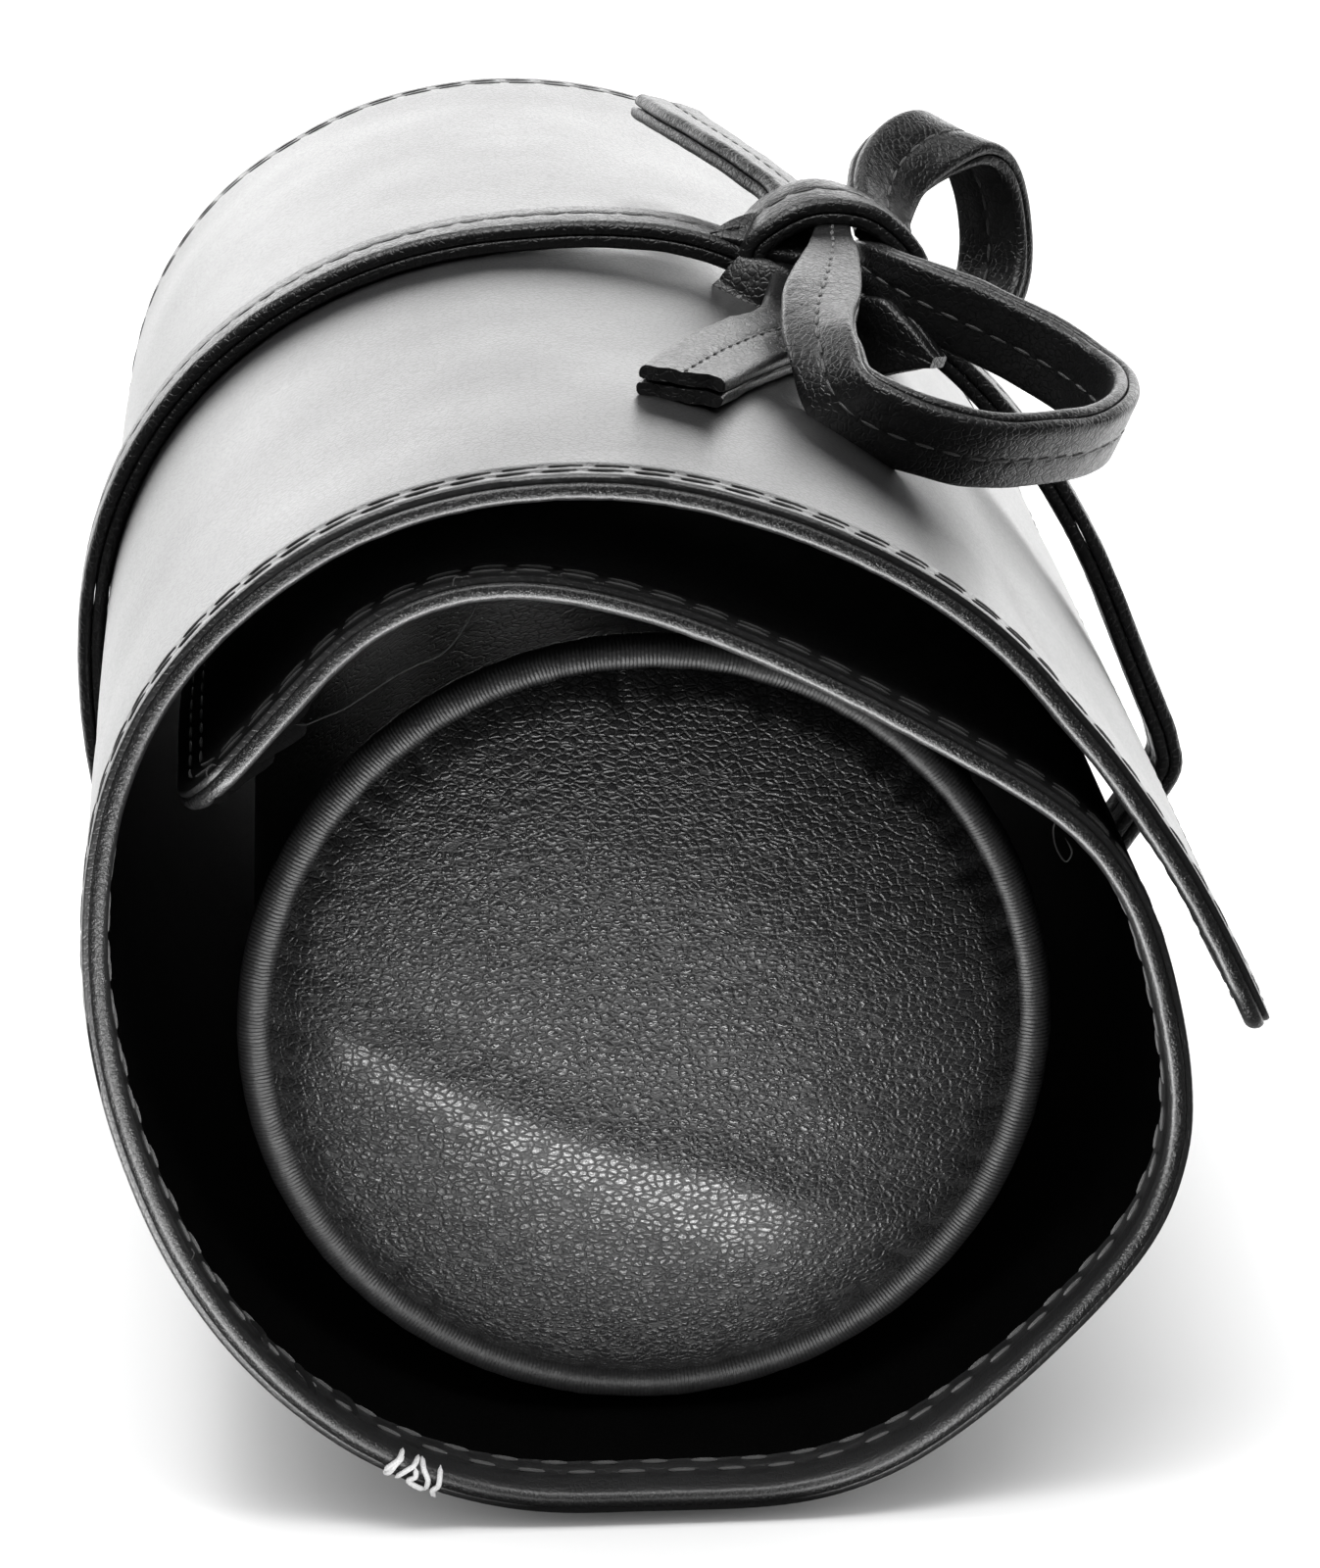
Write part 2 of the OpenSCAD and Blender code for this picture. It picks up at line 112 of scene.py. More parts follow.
# The folds tucked in below and beside the knot
KNOT_TUCK = (
    ((-9.0, -3.4, -1.8), (0.2, 0.5, 0.85)), ((-7.2, -5.0, -3.0), (0.2, 0.4, 0.9)),
    ((-4.8, -5.6, -3.9), (0.15, 0.3, 0.95)), ((-2.2, -4.6, -4.2), (0.1, 0.3, 0.95)),
    ((0.4, -1.6, -3.2), (0.1, 0.3, 0.95)))
# The fold below the knot's right side is partly a real strap fold and partly a dark stand-in for
# the shade under the front loop: painted shade
KNOT_FOLD_AND_SHADE = (
    ((0.6, -4, -4.8), (0.1, 0, 1)), ((3.2, -7.5, -5.4), (0.2, -0.1, 0.95)),
    ((6, -10.5, -5.9), (0.3, -0.1, 0.9)), ((8.4, -12.5, -6.8), (0.4, -0.1, 0.85)))
KNOT_EAR = (
    ((-1.5, 0.5, 0.6), (0, 1, 0.4)), ((-4.0, -0.4, 0.8), (0, 0.95, 0.5)),
    ((-6.4, -1.2, 1.6), (0, 0.9, 0.6)), ((-8.6, -1.6, 1.6), (0, 0.8, 0.7)),
    ((-10.0, -1.6, 1.3), (0, 0.8, 0.7)))


# Sizes and colours that a user would change

def measure(name, description, millimetres):
    return bpy.props.FloatProperty(name=name, description=description, default=millimetres * MM,
                                   unit="LENGTH")


class RollSizes(bpy.types.PropertyGroup):
    roll_length: measure("Roll length", "From rim to rim", 148)
    sheet_thickness: measure("Folded edge", "Thickness of the turned-in edge", 2)
    corner_radius: measure("Corner radius", "Of the sheet's four corners", 6)
    seam_inset: measure("Seam inset", "From the sheet's edge to its stitches", 1.9)
    stitch_pitch: measure("Stitch pitch", "From one stitch of the sheet to the next", 3.4)
    back_inset: measure("Back seam inset", "From the edge to the first of two rows inside", 2.9)
    back_pitch: measure("Back stitch pitch", "From one stitch inside to the next", 3.9)
    back_rows: measure("Back rows", "Between the two rows of stitches inside", 1.2)
    thread: measure("Thread", "Thickness of the sewing thread", 0.28)


class BolsterSizes(bpy.types.PropertyGroup):
    puff: bpy.props.FloatProperty(
        name="Cap slack", description="How much wider the cap's leather is cut than its seam",
        default=0.05, subtype="FACTOR", min=0, max=0.2)
    gathers: bpy.props.IntProperty(
        name="Gathers", description="Puckers round one ring of piping", default=330, min=40)


class TieSizes(bpy.types.PropertyGroup):
    width: measure("Strap width", "Across the strap", 7)
    ply: measure("Ply", "Thickness of one of the strap's two plies", 1.2)
    stitch_pitch: measure("Stitch pitch", "From one stitch of the strap to the next", 2.3)


def colour(name, description, default):
    return bpy.props.FloatVectorProperty(
        name=name, description=description, default=default, subtype="COLOR", size=3, min=0,
        max=1)


class Finishes(bpy.types.PropertyGroup):
    leather: colour("Leather", "Black leather of the sheet", (0.005, 0.005, 0.0052))
    cover: colour("Bolster leather", "Pebbled leather of the bolster", (0.008, 0.008, 0.0083))
    strap: colour("Strap leather", "Leather of the tie", (0.0045, 0.0045, 0.0047))
    suede: colour("Suede", "Lining of the sheet", (0.0015, 0.0015, 0.0015))
    thread: colour("Thread", "Sewing thread", (0.025, 0.025, 0.025))
    tack: colour("Bar tack", "Light thread of the bar tack", (0.42, 0.42, 0.42))


# Shader maths

class Wire:
    """A shader socket on which sums can be written."""

    def __init__(self, shader, socket):
        self.shader, self.socket = shader, socket

    def maths(self, operation, *others):
        return self.shader.add("ShaderNodeMath", {"operation": operation},
                               dict(enumerate((self,) + others)))

    def __add__(self, other):
        return self.maths("ADD", other)

    def __sub__(self, other):
        return self.maths("SUBTRACT", other)

    def __mul__(self, other):
        return self.maths("MULTIPLY", other)

    def __rsub__(self, other):
        return self.maths("MULTIPLY", -1).maths("ADD", other)

    __radd__, __rmul__ = __add__, __mul__

    def smooth(self, low, high):
        """Nothing below low, everything above high, and an easy step between."""
        return self.shader.add("ShaderNodeMapRange", {"interpolation_type": "SMOOTHSTEP"},
                               {0: self, 1: low, 2: high})


class Graph:
    """The nodes of a material or of the world."""

    def __init__(self, owner):
        owner.use_nodes = True
        self.nodes, self.links = owner.node_tree.nodes, owner.node_tree.links

    def add(self, kind, settings, sockets, output=0):
        node = self.nodes.new(kind)
        for key, value in settings.items():
            setattr(node, key, value)
        for key, value in sockets.items():
            self.feed(node.inputs[key], value)
        return Wire(self, node.outputs[output])

    def feed(self, socket, value):
        if isinstance(value, Wire):
            self.links.new(value.socket, socket)
        else:
            socket.default_value = value


class Shader(Graph):
    """A material that is built node by node round one Principled shader."""

    def __init__(self, name):
        self.material = bpy.data.materials.new(name)
        super().__init__(self.material)
        self.surface = self.nodes["Principled BSDF"]
        self.place = self.add("ShaderNodeTexCoord", {}, {}, "Object")

    def scaled(self, scale, turn=(0, 0, 0)):
        return self.add("ShaderNodeMapping", {}, {0: self.place, 2: turn, 3: scale})

    def cloud(self, where, size, detail=3.0, rough=0.5):
        """Soft noise with lumps about size metres across, from 0 to 1."""
        return self.add("ShaderNodeTexNoise", {},
                        {"Vector": where, "Scale": 1 / size, "Detail": detail,
                         "Roughness": rough})

    def cells(self, where, size):
        """How far a point is from the edge of its cell, for cells about size metres across."""
        return self.add("ShaderNodeTexVoronoi", {"feature": "DISTANCE_TO_EDGE"},
                        {"Vector": where, "Scale": 1 / size})

    def mask(self, name):
        """A number from 0 to 1 kept at each of the piece's points."""
        return self.add("ShaderNodeAttribute", {"attribute_name": name}, {}, "Fac")

    def mixed(self, factor, low, high):
        """A colour between low and high."""
        node = self.nodes.new("ShaderNodeMix")
        node.data_type = "RGBA"
        self.feed(node.inputs[0], factor)
        self.feed(node.inputs[6], tuple(low) + (1,))
        self.feed(node.inputs[7], tuple(high) + (1,))
        return Wire(self, node.outputs[2])

    def bump(self, height, distance):
        return self.add("ShaderNodeBump", {}, {"Height": height, "Distance": distance,
                                               "Strength": 1})

    def finish(self, **sockets):
        """Feeds the surface; a socket called Coat Weight is given as coat_weight."""
        named = {socket.name.lower().replace(" ", "_"): socket for socket in self.surface.inputs}
        for name, value in sockets.items():
            self.feed(named[name], tuple(value) + (1,) * (4 - len(value))
                      if isinstance(value, tuple) else value)
        return self.material


def shade(base, share):
    return tuple(min(1, c * share) for c in base)


def smooth_leather(name, base, grain, relief, rough, coat, glaze=0.36, soft=1.2,
                   marked=False):
    """Fine-grained leather: tiny flat pebbles, faint creases and slightly uneven gloss."""
    s = Shader(name)
    drift = s.cloud(s.place, 9 * MM, 2)
    warped = s.add("ShaderNodeVectorMath", {"operation": "ADD"},
                   {0: s.place, 1: s.add("ShaderNodeVectorMath", {"operation": "SCALE"},
                                         {0: s.cloud(s.place, 1.4 * MM, 2), 3: 0.5 * grain})})
    pebbles = s.cells(warped, grain).smooth(0.0, 0.16)
    pores = s.cloud(s.place, 0.35 * grain, 2)
    lumps = s.cloud(warped, 2.4 * grain, 3, 0.6)
    creases = s.cloud(s.scaled((1, 0.35, 1)), 3.5 * MM, 4, 0.6)
    # Only the sheet is marked where it is turned in and where it lies under the wrap
    hem, covered = (s.mask("hem"), s.mask("covered")) if marked else (0, 0)
    nicks = s.cloud(s.place, 0.3 * MM, 3, 0.6)
    height = pebbles * 0.6 + pores * 0.35 + lumps * soft + creases * 0.9 + nicks * hem * 6
    tone = s.mixed(drift * 0.5 + pebbles * 0.5, shade(base, 0.75), shade(base, 1.3))
    return s.finish(
        base_color=tone,
        roughness=(drift * 0.12 + (1 - pebbles) * 0.1 + (rough - 0.08) - hem * 0.12
                   + covered * 0.45),
        normal=s.bump(height, relief),
        coat_weight=(1 - covered) * coat, coat_roughness=glaze, ior=1.5)


def pebbled_leather(name, base):
    """Coarse pebbled leather with soft wrinkles, for the padded caps."""
    s = Shader(name)
    drift = s.cloud(s.place, 12 * MM, 3)
    warp = s.add("ShaderNodeVectorMath", {"operation": "SCALE"},
                 {0: s.add("ShaderNodeTexNoise", {}, {"Vector": s.place, "Scale": 1 / (1.3 * MM),
                                                     "Detail": 2.0}, output=1), 3: 0.6 * MM})
    where = s.add("ShaderNodeVectorMath", {"operation": "ADD"},
                  {0: s.scaled((1, 1, 1.55)), 1: warp})
    pebbles = s.cells(where, 0.76 * MM).smooth(0.01, 0.22)
    small = s.cells(where, 0.38 * MM).smooth(0.0, 0.25)
    folds = s.cloud(s.scaled((1.0, 1.0, 2.6), (0, math.radians(-32), 0)), 7 * MM, 4, 0.55)
    height = pebbles + small * 0.25 + folds * 3.0
    tone = s.mixed(pebbles * 0.6 + drift * 0.4, shade(base, 0.5), shade(base, 1.35))
    return s.finish(
        base_color=tone,
        roughness=drift * 0.1 + (1 - pebbles) * 0.4 + 0.2,
        normal=s.bump(height, 0.085 * MM),
        coat_weight=pebbles * 0.3, coat_roughness=0.24, ior=1.5)


FINE_PUCKERS = 620


def gathered_leather(name, base):
    """Leather drawn tight round a cord, with fine puckers across the ring of piping."""
    s = Shader(name)
    centred = s.add("ShaderNodeVectorMath", {"operation": "SUBTRACT"},
                    {0: s.place, 1: (BOLSTER_X * MM, 0, BOLSTER_Z * MM)})
    x = s.add("ShaderNodeSeparateXYZ", {}, {0: centred}, output=0)
    z = s.add("ShaderNodeSeparateXYZ", {}, {0: centred}, output=2)
    drift = s.cloud(s.place, 1.6 * MM, 3)
    ribs = (x.maths("ARCTAN2", z) * FINE_PUCKERS + drift * 9).maths("SINE") * 0.5 + 0.5
    tone = s.mixed(ribs * 0.5 + drift * 0.5, shade(base, 0.6), shade(base, 1.3))
    return s.finish(
        base_color=tone, roughness=drift * 0.2 + 0.4,
        normal=s.bump(ribs * 0.5 + drift + s.cloud(s.place, 0.3 * MM, 2) * 0.5, 0.07 * MM),
        coat_weight=0.1, coat_roughness=0.4, ior=1.5)


def suede(name, base):
    """Napped suede: no gloss, a fuzzy sheen and a fine uneven nap."""
    s = Shader(name)
    nap = s.cloud(s.place, 0.25 * MM, 3, 0.7)
    brushed = s.cloud(s.scaled((1, 0.4, 1)), 3 * MM, 3)
    tone = s.mixed(nap * 0.6 + brushed * 0.4, shade(base, 0.4), shade(base, 1.9))
    return s.finish(
        base_color=tone, roughness=0.95,
        normal=s.bump(nap + brushed * 0.5, 0.25 * MM),
        specular_ior_level=0.02)


def thread_finish(name, base):
    """Twisted thread with a soft shine."""
    s = Shader(name)
    fibres = s.cloud(s.place, 0.12 * MM, 2)
    return s.finish(base_color=s.mixed(fibres, shade(base, 0.6), shade(base, 1.5)),
                    roughness=0.5, normal=s.bump(fibres, 0.05 * MM), sheen_weight=0.3)


def hidden_finish(name, base, size):
    """Foam or cord that the covers hide."""
    s = Shader(name)
    lumps = s.cloud(s.place, size, 3)
    return s.finish(base_color=s.mixed(lumps, shade(base, 0.8), shade(base, 1.15)),
                    roughness=0.9, normal=s.bump(lumps, 0.3 * MM))


def material(name, maker, *args, **settings):
    """A finish, made once. Its name has to differ from the frame's own materials."""
    return bpy.data.materials.get(name) or maker(name, *args, **settings)


def sheet_leather():
    return material("fine_grain_leather", smooth_leather, bpy.context.scene.roll_finishes.leather,
                    0.55 * MM, 0.035 * MM, 0.4, 0.85, marked=True)


def strap_leather():
    return material("waxed_strap_leather", smooth_leather, bpy.context.scene.roll_finishes.strap,
                    0.6 * MM, 0.06 * MM, 0.34, 0.2, glaze=0.3, soft=3.0)


def black_thread():
    return material("black_thread", thread_finish, bpy.context.scene.roll_finishes.thread)


def cover_leather():
    # The sleeve is the bolster's leather darkened to 0.4 of its colour: painted shade, for the
    # sleeve that lies in shade inside the roll
    return material("bolster_leather", smooth_leather,
                    shade(bpy.context.scene.roll_finishes.cover, 0.4), 0.8 * MM, 0.05 * MM, 0.42,
                    0.2)


# Modelling

def deselect():
    for obj in bpy.context.selected_objects:
        obj.select_set(False)


def select_only(obj):
    deselect()
    obj.select_set(True)
    bpy.context.view_layer.objects.active = obj


def apply_modifier(obj, kind, **settings):
    select_only(obj)
    modifier = obj.modifiers.new(kind.title(), kind)
    for key, value in settings.items():
        setattr(modifier, key, value)
    bpy.ops.object.modifier_apply(modifier=modifier.name)


def close_up(obj, angle=35, mend=False):
    """Merges doubles where asked, points the faces outwards and smooths the shading."""
    select_only(obj)
    bpy.ops.object.mode_set(mode="EDIT")
    bpy.ops.mesh.select_all(action="SELECT")
    if mend:
        bpy.ops.mesh.remove_doubles(threshold=0.00001)
    bpy.ops.mesh.normals_make_consistent(inside=False)
    bpy.ops.object.mode_set(mode="OBJECT")
    bpy.ops.object.shade_smooth_by_angle(angle=math.radians(angle))


def named(name):
    """The primitive that was just added, under its name."""
    obj = bpy.context.object
    obj.name = obj.data.name = name
    return obj


def coordinates(obj):
    places = np.empty(len(obj.data.vertices) * 3)
    obj.data.vertices.foreach_get("co", places)
    return places.reshape(-1, 3)


def move_to(obj, places):
    obj.data.vertices.foreach_set("co", np.asarray(places, dtype=float).ravel())
    obj.data.update()


def dress(obj, body, slot, finish, *nodes):
    obj.data.materials.clear()
    obj.data.materials.append(finish)
    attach(obj, body)
    if nodes:
        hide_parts(*nodes)
    # The card lights what shows in the front mouth, and the bow's front loop
    lit = bpy.data.collections.get("card_lit")
    if lit and obj.name.startswith(("front_", "rolled_leather", "hem_", "bar_tack")):
        lit.objects.link(obj)
    return obj


def join(name, parts):
    deselect()
    for part in parts:
        part.select_set(True)
    bpy.context.view_layer.objects.active = parts[0]
    bpy.ops.object.join()
    parts[0].name = parts[0].data.name = name
    return parts[0]


def blank(name, columns, rows):
    """A flat blank of two faces joined by a rim, with one line of points for each column and row.
    Its points come in order: all of one face, row by row, and then all of the other."""
    deselect()
    bpy.ops.mesh.primitive_grid_add(x_subdivisions=len(columns) - 1,
                                    y_subdivisions=len(rows) - 1, size=2)
    obj = named(name)
    apply_modifier(obj, "SOLIDIFY", thickness=0.5, offset=-1)
    across = np.tile(columns, len(rows))
    along = np.repeat(rows, len(columns))
    return obj, across, along


def spread(length, border, step):
    """Places along a length: the border's distances from each end, and even steps between."""
    inner = length - 2 * border[-1]
    count = max(1, round(inner / step))
    middle = border[-1] + inner * np.arange(1, count) / count
    return np.concatenate([border, middle, length - np.array(border[::-1])])


def rounded(distance, radius):
    """How far a face falls away towards a rounded edge."""
    near = np.clip(radius - distance, 0, radius)
    return radius - np.sqrt(radius ** 2 - near ** 2)


def wobble(x, y, seed, size):
    """Smooth noise at each point, from -1 to 1."""
    return np.array([noise.noise(Vector((a / size, b / size, seed))) for a, b in zip(x, y)])


def dip(distance, at, width):
    return np.exp(-((distance - at) / width) ** 2)


class CoilLine:
    """The rolled sheet's outer face as a smooth line, all in millimetres."""

    step = 0.25
    ease = 4.0

    def __init__(self):
        ends = np.concatenate([[0], np.cumsum([a[0] * WRAP_R for a in COIL])])
        heads = TAIL_HEADING + np.concatenate([[0], np.cumsum([a[1] for a in COIL])])
        self.s = np.arange(-30, SHEET_L + 30, self.step)
        first, last = COIL[0][1] / ends[1], COIL[-1][1] / (ends[-1] - ends[-2])
        head = np.interp(self.s, ends, heads)
        head += np.minimum(self.s, 0) * first + np.maximum(self.s - SHEET_L, 0) * last
        window = np.ones(int(2 * self.ease / self.step) + 1)
        self.heading = np.radians(np.convolve(
            np.pad(head, len(window) // 2, mode="edge"), window / window.sum(), "valid"))
        self.x = np.cumsum(np.cos(self.heading)) * self.step
        self.z = np.cumsum(np.sin(self.heading)) * self.step
        middle = (ends[FLAT_ARC] + ends[FLAT_ARC + 1]) / 2
        self.x -= np.interp(middle, self.s, self.x)
        self.z += FLAT_Z - np.interp(middle, self.s, self.z)

    def at(self, s, depth=0.0):
        """x, z and heading at a station, a depth inside the outer face."""
        head = np.interp(s, self.s, self.heading)
        x = np.interp(s, self.s, self.x) - depth * np.sin(head)
        z = np.interp(s, self.s, self.z) + depth * np.cos(head)
        return x, z, head


coil = CoilLine()

FLAT_FROM = WRAP_R * sum(length for length, _ in COIL[:FLAT_ARC])
FLAT_TO = FLAT_FROM + WRAP_R * COIL[FLAT_ARC][0]
RIM_FLARE, FLARE_FROM, FLARE_TO = 1.6, 63.0, 73.3
# Depths from the sheet's outer face, and how far in from the edge the lining begins
LEATHER_BACK, LINING_UNDER, LINING_FACE, LINING_INSET = 1.05, 1.1, 1.8, 4.5
OUTER_SEAM, INNER_SEAM = 0.05, 1.98


def flare(s, y):
    """How far both rims flare towards the table under the roll, in millimetres."""
    away = np.maximum(np.maximum(FLAT_FROM - s, s - FLAT_TO), 0) / WRAP_R
    near = np.clip(1 - away, 0, 1)
    out = np.clip((abs(y) - FLARE_FROM) / (FLARE_TO - FLARE_FROM), 0, 1)
    return RIM_FLARE * near * near * (3 - 2 * near) * out ** 1.3


def sag(s, y):
    """How far the sheet's leather is drawn in (positive) or stands off at a station, in mm."""
    turn = s / WRAP_R
    free = np.clip((4.6 - turn) / 0.8, 0, 1)
    rims = np.clip((abs(y) - 8) / 40, 0, 1)
    waves = wobble(s, y, 3.1, 31) * 0.55 + wobble(s, y, 7.7, 12) * 0.16
    fold = 0.5 * dip(turn, 0.93, 0.1) * dip(y, -45, 30)
    inner = np.clip((turn - 7.9) / 0.6, 0, 1) * (wobble(s, y, 5.2, 24) * 0.5 - 0.1)
    tail = 0.9 * np.clip(1 - s / 20, 0, 1.2)
    return free * rims * waves + fold + inner * rims - tail - flare(s, y)


def square_to_round(x, y, half, length, radius):
    """Rounds the corners of a flat sheet and keeps its border lines parallel to the edge."""
    corner_x = half - radius
    side_x = np.sign(x)
    a = abs(x) - corner_x
    low = y < length / 2
    b = np.where(low, radius - y, y - (length - radius))
    inside = (a > 0) & (b > 0)
    big, small = np.maximum(a, b), np.minimum(a, b)
    angle = np.where(big > 0, math.pi / 4 * small / np.maximum(big, 1e-9), 0)
    long_part, short_part = big * np.cos(angle), big * np.sin(angle)
    na = np.where(a >= b, long_part, short_part)
    nb = np.where(a >= b, short_part, long_part)
    x = np.where(inside, side_x * (corner_x + na), x)
    y = np.where(inside, np.where(low, radius - nb, length - radius + nb), y)
    return x, y


def rolled(obj, across, along, margin, top, bottom, radius, insets=None):
    """Rolls a flat blank up: top and bottom give each face's depth from the sheet's outer face,
    and insets moves the outer face's border lines to other distances from the edge."""
    half = bpy.context.scene.roll_sizes.roll_length / 2 / MM - margin
    length = SHEET_L - 2 * margin
    edge = np.minimum(np.minimum(half - abs(across), along), length - along)
    faces = []
    for shape, lines in ((top, insets), (bottom, None)):
        a, b = across, along
        if lines:
            a = np.sign(a) * (half - np.interp(half - abs(a), *lines))
            b = np.where(b < length / 2, np.interp(b, *lines),
                         length - np.interp(length - b, *lines))
        x, y = square_to_round(a, b, half, length, max(radius - margin, 0.5))
        s = y + margin
        px, pz, _ = coil.at(s, shape(edge, s, x) + sag(s, x))
        faces.append(np.stack([px, x, pz], axis=1))
    move_to(obj, np.concatenate(faces) * MM)


def mask(obj, name, values):
    """Keeps a number from 0 to 1 at each point, for the finish to read."""
    layer = obj.data.attributes.new(name, "FLOAT", "POINT")
    layer.data.foreach_set("value", np.asarray(values, dtype=float))


class RollLeather(bpy.types.Operator):
    """Cuts the outer leather with its turned-in hem and rolls it up"""
    bl_idname = "jewelry_roll.leather"
    bl_label = "Outer leather"

    def execute(self, context):
        sizes = context.scene.roll_sizes
        width = sizes.roll_length / MM
        thick = sizes.sheet_thickness / MM
        seam = sizes.seam_inset / MM
        pitch = sizes.stitch_pitch / MM
        back, gap = sizes.back_inset / MM, sizes.back_rows / MM
        border = [0, 0.06, 0.16, 0.32, 0.55, 0.8, 1.1, 1.5, 1.9, 2.3, 2.6, 2.9, 3.2, 3.7, 4.1,
                  4.4, 4.6, 5.3, 6.2, 7.4, 9, 11]
        columns = spread(width, border, 2.1) - width / 2
        rows = spread(SHEET_L, border, 1.05)
        obj, across, along = blank("rolled_leather", columns, rows)

        def pucker(s, x, pitch):
            run = np.where(abs(x) > width / 2 - 6, s, x)
            return 0.5 - 0.5 * np.cos(2 * math.pi * run / pitch)

        lines = (0, 0.06, 0.16, 0.32, 0.55, 0.8, 1.1, 1.5, 999)
        insets = (0.02, 0.08, 0.2, 0.4, 0.34, 0.44, 0.68, 1.3, 999)
        depths = (1.05, 0.82, 0.66, 0.58, 0.36, 0.1, 0.02, 0, 0)

        def outer(edge, s, x):
            lean = wobble(s, x, 1.7, 5) * 0.05
            drawn = 0.07 + 0.1 * pucker(s, x, pitch)
            return (np.interp(edge, lines, depths) + wobble(s, x, 8.2, 1.1) * 0.06 * (edge < 0.2)
                    + drawn * (dip(edge, seam, 0.35) + dip(edge, seam + gap, 0.35))
                    + lean * dip(edge, 2, 2.5))

        def inner(edge, s, x):
            hem = np.where(edge < LINING_INSET, thick, LEATHER_BACK)
            drawn = 0.06 + 0.16 * pucker(s, x, sizes.back_pitch / MM)
            rough = wobble(s, x, 6.6, 0.9) * 0.07 * dip(edge, 0.4, 0.7)
            return (hem - rounded(edge, 0.85) - rough
                    - drawn * (dip(edge, back, 0.4) + dip(edge, back + gap, 0.4)))

        rolled(obj, across, along, 0, outer, inner, sizes.corner_radius / MM, (lines, insets))
        edge = np.minimum(np.minimum(width / 2 - abs(across), along), SHEET_L - along)
        hem = 1 - np.clip((edge - 0.2) / 0.3, 0, 1)
        mask(obj, "hem", np.tile(hem, 2))
        covered = np.clip((along / WRAP_R - 6.9) / 0.5, 0, 1) * np.clip(edge / 3 - 0.5, 0, 1)
        mask(obj, "covered", np.tile(covered, 2))
        close_up(obj, 50)
        dress(obj, "roll", "black_leather", sheet_leather(), "outer_leather")
        return {"FINISHED"}


class RollLining(bpy.types.Operator):
    """Cuts the suede lining and rolls it up inside the leather"""
    bl_idname = "jewelry_roll.lining"
    bl_label = "Suede lining"

    def execute(self, context):
        sizes = context.scene.roll_sizes
        width = sizes.roll_length / MM - 2 * LINING_INSET
        length = SHEET_L - 2 * LINING_INSET
        border = [0, 0.2, 0.6, 1.2, 2.2, 4]
        columns = spread(width, border, 2.6) - width / 2
        rows = spread(length, border, 1.6)
        obj, across, along = blank("rolled_lining", columns, rows)

        def under(edge, s, x):
            return np.full_like(s, LINING_UNDER)

        def nap(edge, s, x):
            return LINING_FACE - 0.3 * dip(edge, 0, 0.4) + wobble(s, x, 9.3, 4) * 0.06

        rolled(obj, across, along, LINING_INSET, under, nap, sizes.corner_radius / MM)
        close_up(obj, 50)
        dress(obj, "roll", "black_suede",
              material("suede_lining", suede, context.scene.roll_finishes.suede),
              "suede_lining")
        return {"FINISHED"}


# The bolster's axis, its seams and its cap, in millimetres
BOLSTER_X, BOLSTER_Z = -1.0, 37.0
SEAM_R, SEAM_Y, CROWN, PIPE_R = 30.4, 61.0, 5.0, 1.5
CAP_RIM, CAP_LINES = SEAM_R - 0.9, 84
# Cloth behaves better large, so a cap is stuffed at this scale, for so many frames
STUFFING_SCALE, STUFFING_FRAMES = 20, 18


def round_bolster(r, angle, y):
    """Places in metres round the bolster's axis, from millimetres."""
    return np.stack([BOLSTER_X + r * np.cos(angle), y, BOLSTER_Z + r * np.sin(angle)],
                    axis=1) * MM


def disc(name, radius, count):
    """A flat round sheet of even quads, facing the front, in millimetres."""
    deselect()
    bpy.ops.mesh.primitive_grid_add(x_subdivisions=count, y_subdivisions=count, size=2)
    obj = named(name)
    flat = coordinates(obj)
    a, b = flat[:, 0], flat[:, 1]
    ring = np.maximum(abs(a), abs(b))
    reach = np.hypot(a, b)
    scale = np.where(reach > 0, ring / np.maximum(reach, 1e-9), 0)
    return obj, a * scale * radius, b * scale * radius, ring * radius


